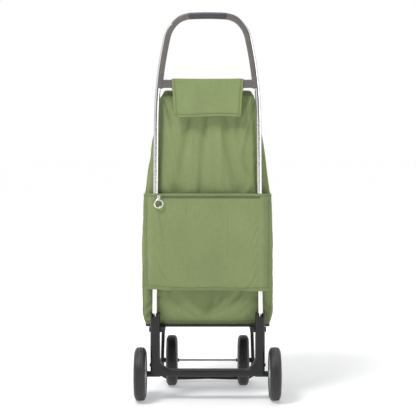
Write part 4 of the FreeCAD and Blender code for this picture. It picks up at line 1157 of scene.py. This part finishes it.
def along_tube(name, line, section, finish, sharp=None):
    """A closed solid along the tube's line: section(x, z) gives (outward, depth) points."""
    rings = []
    for x, z, nx, nz in line:
        ring = [(x + nx * n, REAR_Y + y, z + nz * n) for n, y in section(x, z)]
        rings.append(ring)
    return facing_out(skin(name, np.array(rings), finish, wrap=(False, True), caps=True,
                           sharp=sharp))


def shell_section(side):
    """The handle shell's half section: side -1 is the user's half, 1 the front half."""
    def section(x, z):
        wrap = float(ramp(abs(x), 0.116, 0.070))
        n_in = -SHELL_INSET + (SHELL_INSET - 0.0084) * wrap
        n_out = 0.0081 * wrap
        far = side * SHELL_DEEP / 2
        near = side * 0.0002
        soft_in, soft_out = 0.005, 0.0025 + 0.003 * wrap
        return rounded_outline([(n_in, near, 0), (n_in, far, soft_in), (n_out, far, soft_out),
                                (n_out, near, 0)])
    return section


class TROLLEY_OT_handle(bpy.types.Operator):
    """Mould the two handle shells with their crossbar, and the hand grip"""
    bl_idname = "trolley.handle"
    bl_label = "Handle"

    def execute(self, context):
        line = tube_line(CROSSBAR_LOW - 0.004)
        away = line[np.abs(line[:, 0]) > GRIP_HALF - 0.004]
        for side, name in ((-1, "handle_shell_rear"), (1, "handle_shell_front")):
            arms = [along_tube("arm", away[away[:, 0] * hand > 0], shell_section(side),
                               handle_material(), 40) for hand in (-1, 1)]
            bar = self.crossbar(side, line)
            shell = joined(name.replace("shell", "moulding"), arms + [bar])
            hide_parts(name)
            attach(shell, "chassis")
        held = line[np.abs(line[:, 0]) <= GRIP_HALF + 0.002]
        grip = along_tube("grip_sleeve", held, self.grip_section, grip_material())
        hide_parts("hand_grip")
        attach(grip, "chassis")
        return {"FINISHED"}

    def grip_section(self, x, z):
        """The grip: a soft oval that swells a little in the middle and draws in at its ends."""
        end = float(ramp(abs(x), GRIP_HALF - 0.003, GRIP_HALF))
        swell = 1 - 0.05 * end
        a, b = GRIP_THICK / 2, GRIP_DEEP / 2
        angles = np.linspace(0, 2 * math.pi, 36, endpoint=False)
        power = 0.8
        n = a * swell * np.sign(np.cos(angles)) * np.abs(np.cos(angles)) ** power
        y = b * (1 - 0.08 * end) * np.sign(np.sin(angles)) * np.abs(np.sin(angles)) ** power
        return np.stack([n, y], axis=1)

    def crossbar(self, side, line):
        """Half of the crossbar between the two arms."""
        level = line[np.argmin(np.abs(line[:, 1] - CROSSBAR_LOW))]
        reach = abs(level[0]) - SHELL_INSET + 0.003
        far, near = side * CROSSBAR_DEEP / 2, side * 0.0002
        outline = rounded_outline([(near, CROSSBAR_LOW, 0), (far, CROSSBAR_LOW, 0.003),
                                   (far, CROSSBAR_HIGH, 0.003), (near, CROSSBAR_HIGH, 0)])
        xs = np.linspace(-reach, reach, 24)
        points = np.array([[(x, REAR_Y + y, z) for y, z in outline] for x in xs])
        return facing_out(skin("bar", points, handle_material(), wrap=(False, True), caps=True,
                               sharp=40))


# ---- wheels ---------------------------------------------------------------------------------------

class TROLLEY_OT_wheels(bpy.types.Operator):
    """Make the four wheels: foam tyres with a rounded tread, ribbed discs and rear hub caps"""
    bl_idname = "trolley.wheels"
    bl_label = "Wheels"

    def execute(self, context):
        for end in ("rear", "front"):
            for hand, side in (("left", -1), ("right", 1)):
                self.wheel(f"{end}_{hand}", side, end == "rear")
        return {"FINISHED"}

    def wheel(self, name, side, capped):
        low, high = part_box("tyre_" + name)
        centre = (low + high) / 2
        half, radius = (high.x - low.x) / 2, (high.z - low.z) / 2
        seat = radius - 0.018
        body = "wheel_" + name
        tyre = facing_out(lathe("tread_" + name, self.tyre_profile(half, radius, seat), centre,
                                tyre_material(), 50, 128))
        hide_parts("tyre_" + name)
        bore = 0.0041 if capped else 0.0031
        web = facing_out(lathe("web_" + name, self.disc_profile(side, seat, bore), centre,
                               disc_material(), 35, 96))
        ribs = self.ribs("ribs", centre, side, seat)
        disc = joined("hub_disc_" + name, [web, ribs])
        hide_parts("disc_" + name)
        pieces = [tyre, disc]
        if capped:
            cap = facing_out(lathe("hub_cap_" + name, self.cap_profile(side, half), centre,
                                   plastic_material(), 35, 64))
            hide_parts("cap_" + name)
            pieces.append(cap)
        for piece in pieces:
            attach(piece, body)

    def tyre_profile(self, half, radius, seat):
        """A crowned tread with two shallow grooves, rounded shoulders and a beaded foot."""
        tread = []
        for x in np.linspace(-half, half, 61):
            share = abs(x) / half
            crown = radius - 0.0018 * share ** 2 - 0.0085 * max(0.0, (share - 0.45) / 0.55) ** 2.6
            groove = 0.0007 * (hump(x, -0.0052, 0.0007) + hump(x, 0.0052, 0.0007))
            tread.append((x, crown - groove))
        wall = [(half - 0.0003, radius - 0.0135), (half - 0.0012, seat + 0.0025),
                (half - 0.003, seat)]
        return tread + wall + [(-x, r) for x, r in wall[::-1]]

    def disc_profile(self, side, seat, bore):
        """A dished web between a rim with two lips and a long hub; the web faces inboard."""
        lip, barrel = 0.0022, 0.005
        right = [(-0.017, bore), (0.008, bore), (0.008, 0.0105), (0.0065, 0.012),
                 (-0.003, 0.0125), (-0.0048, 0.015), (-0.005, 0.030), (-0.004, seat - 0.0085),
                 (-0.001, seat - barrel), (0.0115, seat - barrel), (0.0125, seat - barrel + 0.001),
                 (0.0135, seat + lip), (0.0125, seat + lip), (0.0118, seat),
                 (-0.0118, seat), (-0.0125, seat + lip), (-0.0135, seat + lip),
                 (-0.0125, seat - barrel + 0.001), (-0.0105, seat - barrel - 0.0015),
                 (-0.009, seat - 0.009), (-0.0085, 0.030), (-0.0092, 0.0145),
                 (-0.0115, 0.0118), (-0.016, 0.0112), (-0.017, 0.0102)]
        return [(x * side, r) for x, r in right]

    def cap_profile(self, side, half):
        """A shallow domed cap with a rolled edge."""
        outline = [(0.008, 0.016), (0.0125, 0.016), (0.0142, 0.0148), (0.0152, 0.011),
                   (half, 0.0045), (half, 0.0004), (0.0140, 0.0004), (0.0138, 0.0095),
                   (0.0125, 0.0128), (0.0115, 0.0145), (0.008, 0.0145)]
        return [(x * side, r) for x, r in outline]

    def ribs(self, name, centre, side, seat):
        """Radial ribs on the open face of the disc, spread by a geometry tree."""
        tree = bpy.data.node_groups.get("wheel_ribs") or self.rib_tree()
        hub, rim_gap = 0.0115, 0.006
        reach = seat - rim_gap - hub
        made = grown(name, bpy.data.meshes.new(name), tree,
                     {"Count": sizes().ribs, "Length": reach, "Width": 0.0024, "Height": 0.0085,
                      "Middle": hub + reach / 2, "Material": disc_material()})
        for vertex in made.data.vertices:
            x, y, z = vertex.co
            vertex.co = (centre[0] + side * (z - 0.0012), centre[1] + x, centre[2] + y)
        return facing_out(made)

    def rib_tree(self):
        """Blocks spread evenly round a circle about Z, each lying along the radius."""
        tree = new_tree("wheel_ribs", [
            ("Count", "NodeSocketInt", 10), ("Length", "NodeSocketFloat", 0.03),
            ("Width", "NodeSocketFloat", 0.002), ("Height", "NodeSocketFloat", 0.008),
            ("Middle", "NodeSocketFloat", 0.03), ("Material", "NodeSocketMaterial", None)])
        nodes, links = tree.nodes, tree.links
        source = nodes.new("NodeGroupInput")
        ring = nodes.new("GeometryNodeMeshCircle")
        links.new(source.outputs["Count"], ring.inputs["Vertices"])
        links.new(source.outputs["Middle"], ring.inputs["Radius"])
        place = nodes.new("GeometryNodeInputPosition")
        return spread_units(tree, source, ring.outputs["Mesh"], place.outputs[0], tooth_unit)


# ---- CAD nodes that stay as they are --------------------------------------------------------------

class TROLLEY_OT_finishes(bpy.types.Operator):
    """Give every CAD piece that shows its finish"""
    bl_idname = "trolley.finishes"
    bl_label = "Finishes"

    def execute(self, context):
        finishes = {
            "black_plastic": plastic_material(),
            "warm_grey_plastic": handle_material(),
            "grip_rubber": grip_material(),
            "rubber_tyre": tyre_material(),
            "wheel_grey": disc_material(),
            "polished_aluminium": material("bright_aluminium", aluminium_paint),
            "steel": material("zinc_steel", steel_paint),
            "chrome_metal": material("nickel", chrome_paint),
            "green_cloth": cloth_material(),
            "board": material("fibre_board", board_paint),
        }
        for row in frame["record"]["subparts"]:
            obj = NODES[row["node"]]
            obj.data.materials.clear()
            obj.data.materials.append(finishes[row["material_slot"]])
        return {"FINISHED"}


# ---- stage ----------------------------------------------------------------------------------------

class TROLLEY_OT_stage(bpy.types.Operator):
    """Set the pale floor, the soft studio light and the camera"""
    bl_idname = "trolley.stage"
    bl_label = "Stage"

    def execute(self, context):
        stage = context.scene.trolley_stage
        self.camera(stage)
        self.floor()
        self.world(stage)
        self.area("key_light", (-1.3, -1.6, 3.1), 1.1, stage.key)
        self.area("fill_light", (2.5, -1.5, 1.0), 1.6, stage.fill)
        self.area("top_light", (0.0, 0.4, 3.0), 2.4, stage.fill * 2.2)
        context.scene.view_settings.view_transform = "Standard"
        return {"FINISHED"}

    def camera(self, stage):
        data = bpy.data.cameras.new("view")
        data.lens = stage.lens
        camera = placed("view", data)
        camera.location = (0.0011, REAR_Y - stage.distance, stage.height)
        camera.rotation_euler = (math.pi / 2 - stage.tilt, 0, 0)
        bpy.context.scene.camera = camera

    def floor(self):
        points = np.array([[(x, y, 0.0) for x in (-30.0, 30.0)] for y in (-30.0, 30.0)])
        floor = skin("floor", points, material("pale_floor", floor_paint))

    def area(self, name, place, size, power):
        data = bpy.data.lights.new(name, "AREA")
        data.shape = "DISK"
        data.size = size
        data.energy = power
        light = placed(name, data)
        light.location = place
        aim = Vector((0, 0, 0.5)) - Vector(place)
        light.rotation_euler = aim.to_track_quat("-Z", "Y").to_euler()

    def world(self, stage):
        """A pale room, with dark drapes on the user's side and on both flanks for the bright metal."""
        world = bpy.data.worlds.new("studio")
        bpy.context.scene.world = world
        world.use_nodes = True
        tree = world.node_tree
        tree.nodes.clear()
        direction = add_node(tree, "ShaderNodeTexCoord", output=0)
        parts = tree.nodes.new("ShaderNodeSeparateXYZ")
        tree.links.new(direction.socket, parts.inputs[0])
        x, y = Wire(tree, parts.outputs[0]), Wire(tree, parts.outputs[1])
        soft = {"interpolation_type": "SMOOTHSTEP"}
        narrow = add_node(tree, "ShaderNodeMapRange", soft, Value=x * x, at_1=0.50, at_2=0.2)
        behind = add_node(tree, "ShaderNodeMapRange", soft, Value=y, at_1=-0.3, at_2=-0.6)
        flank = add_node(tree, "ShaderNodeMapRange", soft, Value=x * x, at_1=0.80, at_2=0.92)
        ahead = add_node(tree, "ShaderNodeMapRange", soft, Value=y, at_1=0.0, at_2=0.15)
        dark = narrow * behind * 0.93 + flank * ahead * 0.8
        rays = tree.nodes.new("ShaderNodeLightPath")
        glossy = Wire(tree, rays.outputs["Is Glossy Ray"])
        camera = Wire(tree, rays.outputs["Is Camera Ray"])
        strength = (stage.room + glossy * (1.0 - stage.room)) * (1.0 - dark)
        light = add_node(tree, "ShaderNodeBackground", Color=(1, 1, 1), Strength=strength)
        seen = add_node(tree, "ShaderNodeBackground", Color=(1, 1, 1), Strength=1.0)
        mixed = add_node(tree, "ShaderNodeMixShader", at_0=camera, at_1=light, at_2=seen)
        out = tree.nodes.new("ShaderNodeOutputWorld")
        tree.links.new(mixed.socket, out.inputs["Surface"])


def floor_paint(tree):
    """Pale, faintly mottled studio floor with painted light: an emitted glow, dim near the trolley and
    white further out.
    """
    place = place_of(tree)
    away = place.node("ShaderNodeVectorMath", {"operation": "LENGTH"}, 1, at_0=place)
    glow = away.node("ShaderNodeMapRange", {"interpolation_type": "SMOOTHSTEP"}, Value=away,
                     at_1=0.2, at_2=1.7)
    grain = speckle(tree, 40, 2)
    return {"Base_Color": mix_colours(grain, (0.87, 0.875, 0.88), (0.89, 0.895, 0.9)),
            "Roughness": 0.7, "Specular_IOR_Level": 0.2,
            # Painted light: the floor glows, dimmer near the trolley and white further out.
            "Emission_Color": mix_colours(glow, (0.34, 0.34, 0.35), (0.76, 0.76, 0.76)),
            "Emission_Strength": 1.0}


# ---- panel and registration -----------------------------------------------------------------------

OPERATORS = (TROLLEY_OT_finishes, TROLLEY_OT_wheels, TROLLEY_OT_handle, TROLLEY_OT_bag,
             TROLLEY_OT_pocket, TROLLEY_OT_flap, TROLLEY_OT_lid, TROLLEY_OT_stage)


class TROLLEY_PT_panel(bpy.types.Panel):
    """Buttons for each piece of the trolley"""
    bl_label = "Shopping trolley"
    bl_space_type = "VIEW_3D"
    bl_region_type = "UI"
    bl_category = "Trolley"

    def draw(self, context):
        for operator in OPERATORS:
            self.layout.operator(operator.bl_idname)


GROUPS = (TrolleySizes, TrolleyColours, TrolleyStage)


def register():
    for item in GROUPS + OPERATORS + (TROLLEY_PT_panel,):
        bpy.utils.register_class(item)
    bpy.types.Scene.trolley_sizes = bpy.props.PointerProperty(type=TrolleySizes)
    bpy.types.Scene.trolley_colours = bpy.props.PointerProperty(type=TrolleyColours)
    bpy.types.Scene.trolley_stage = bpy.props.PointerProperty(type=TrolleyStage)


def unregister():
    for name in ("trolley_sizes", "trolley_colours", "trolley_stage"):
        delattr(bpy.types.Scene, name)
    for item in reversed(GROUPS + OPERATORS + (TROLLEY_PT_panel,)):
        bpy.utils.unregister_class(item)


def main():
    register()
    for operator in OPERATORS:
        group, name = operator.bl_idname.split(".")
        getattr(getattr(bpy.ops, group), name)()


if __name__ == "__main__":
    main()
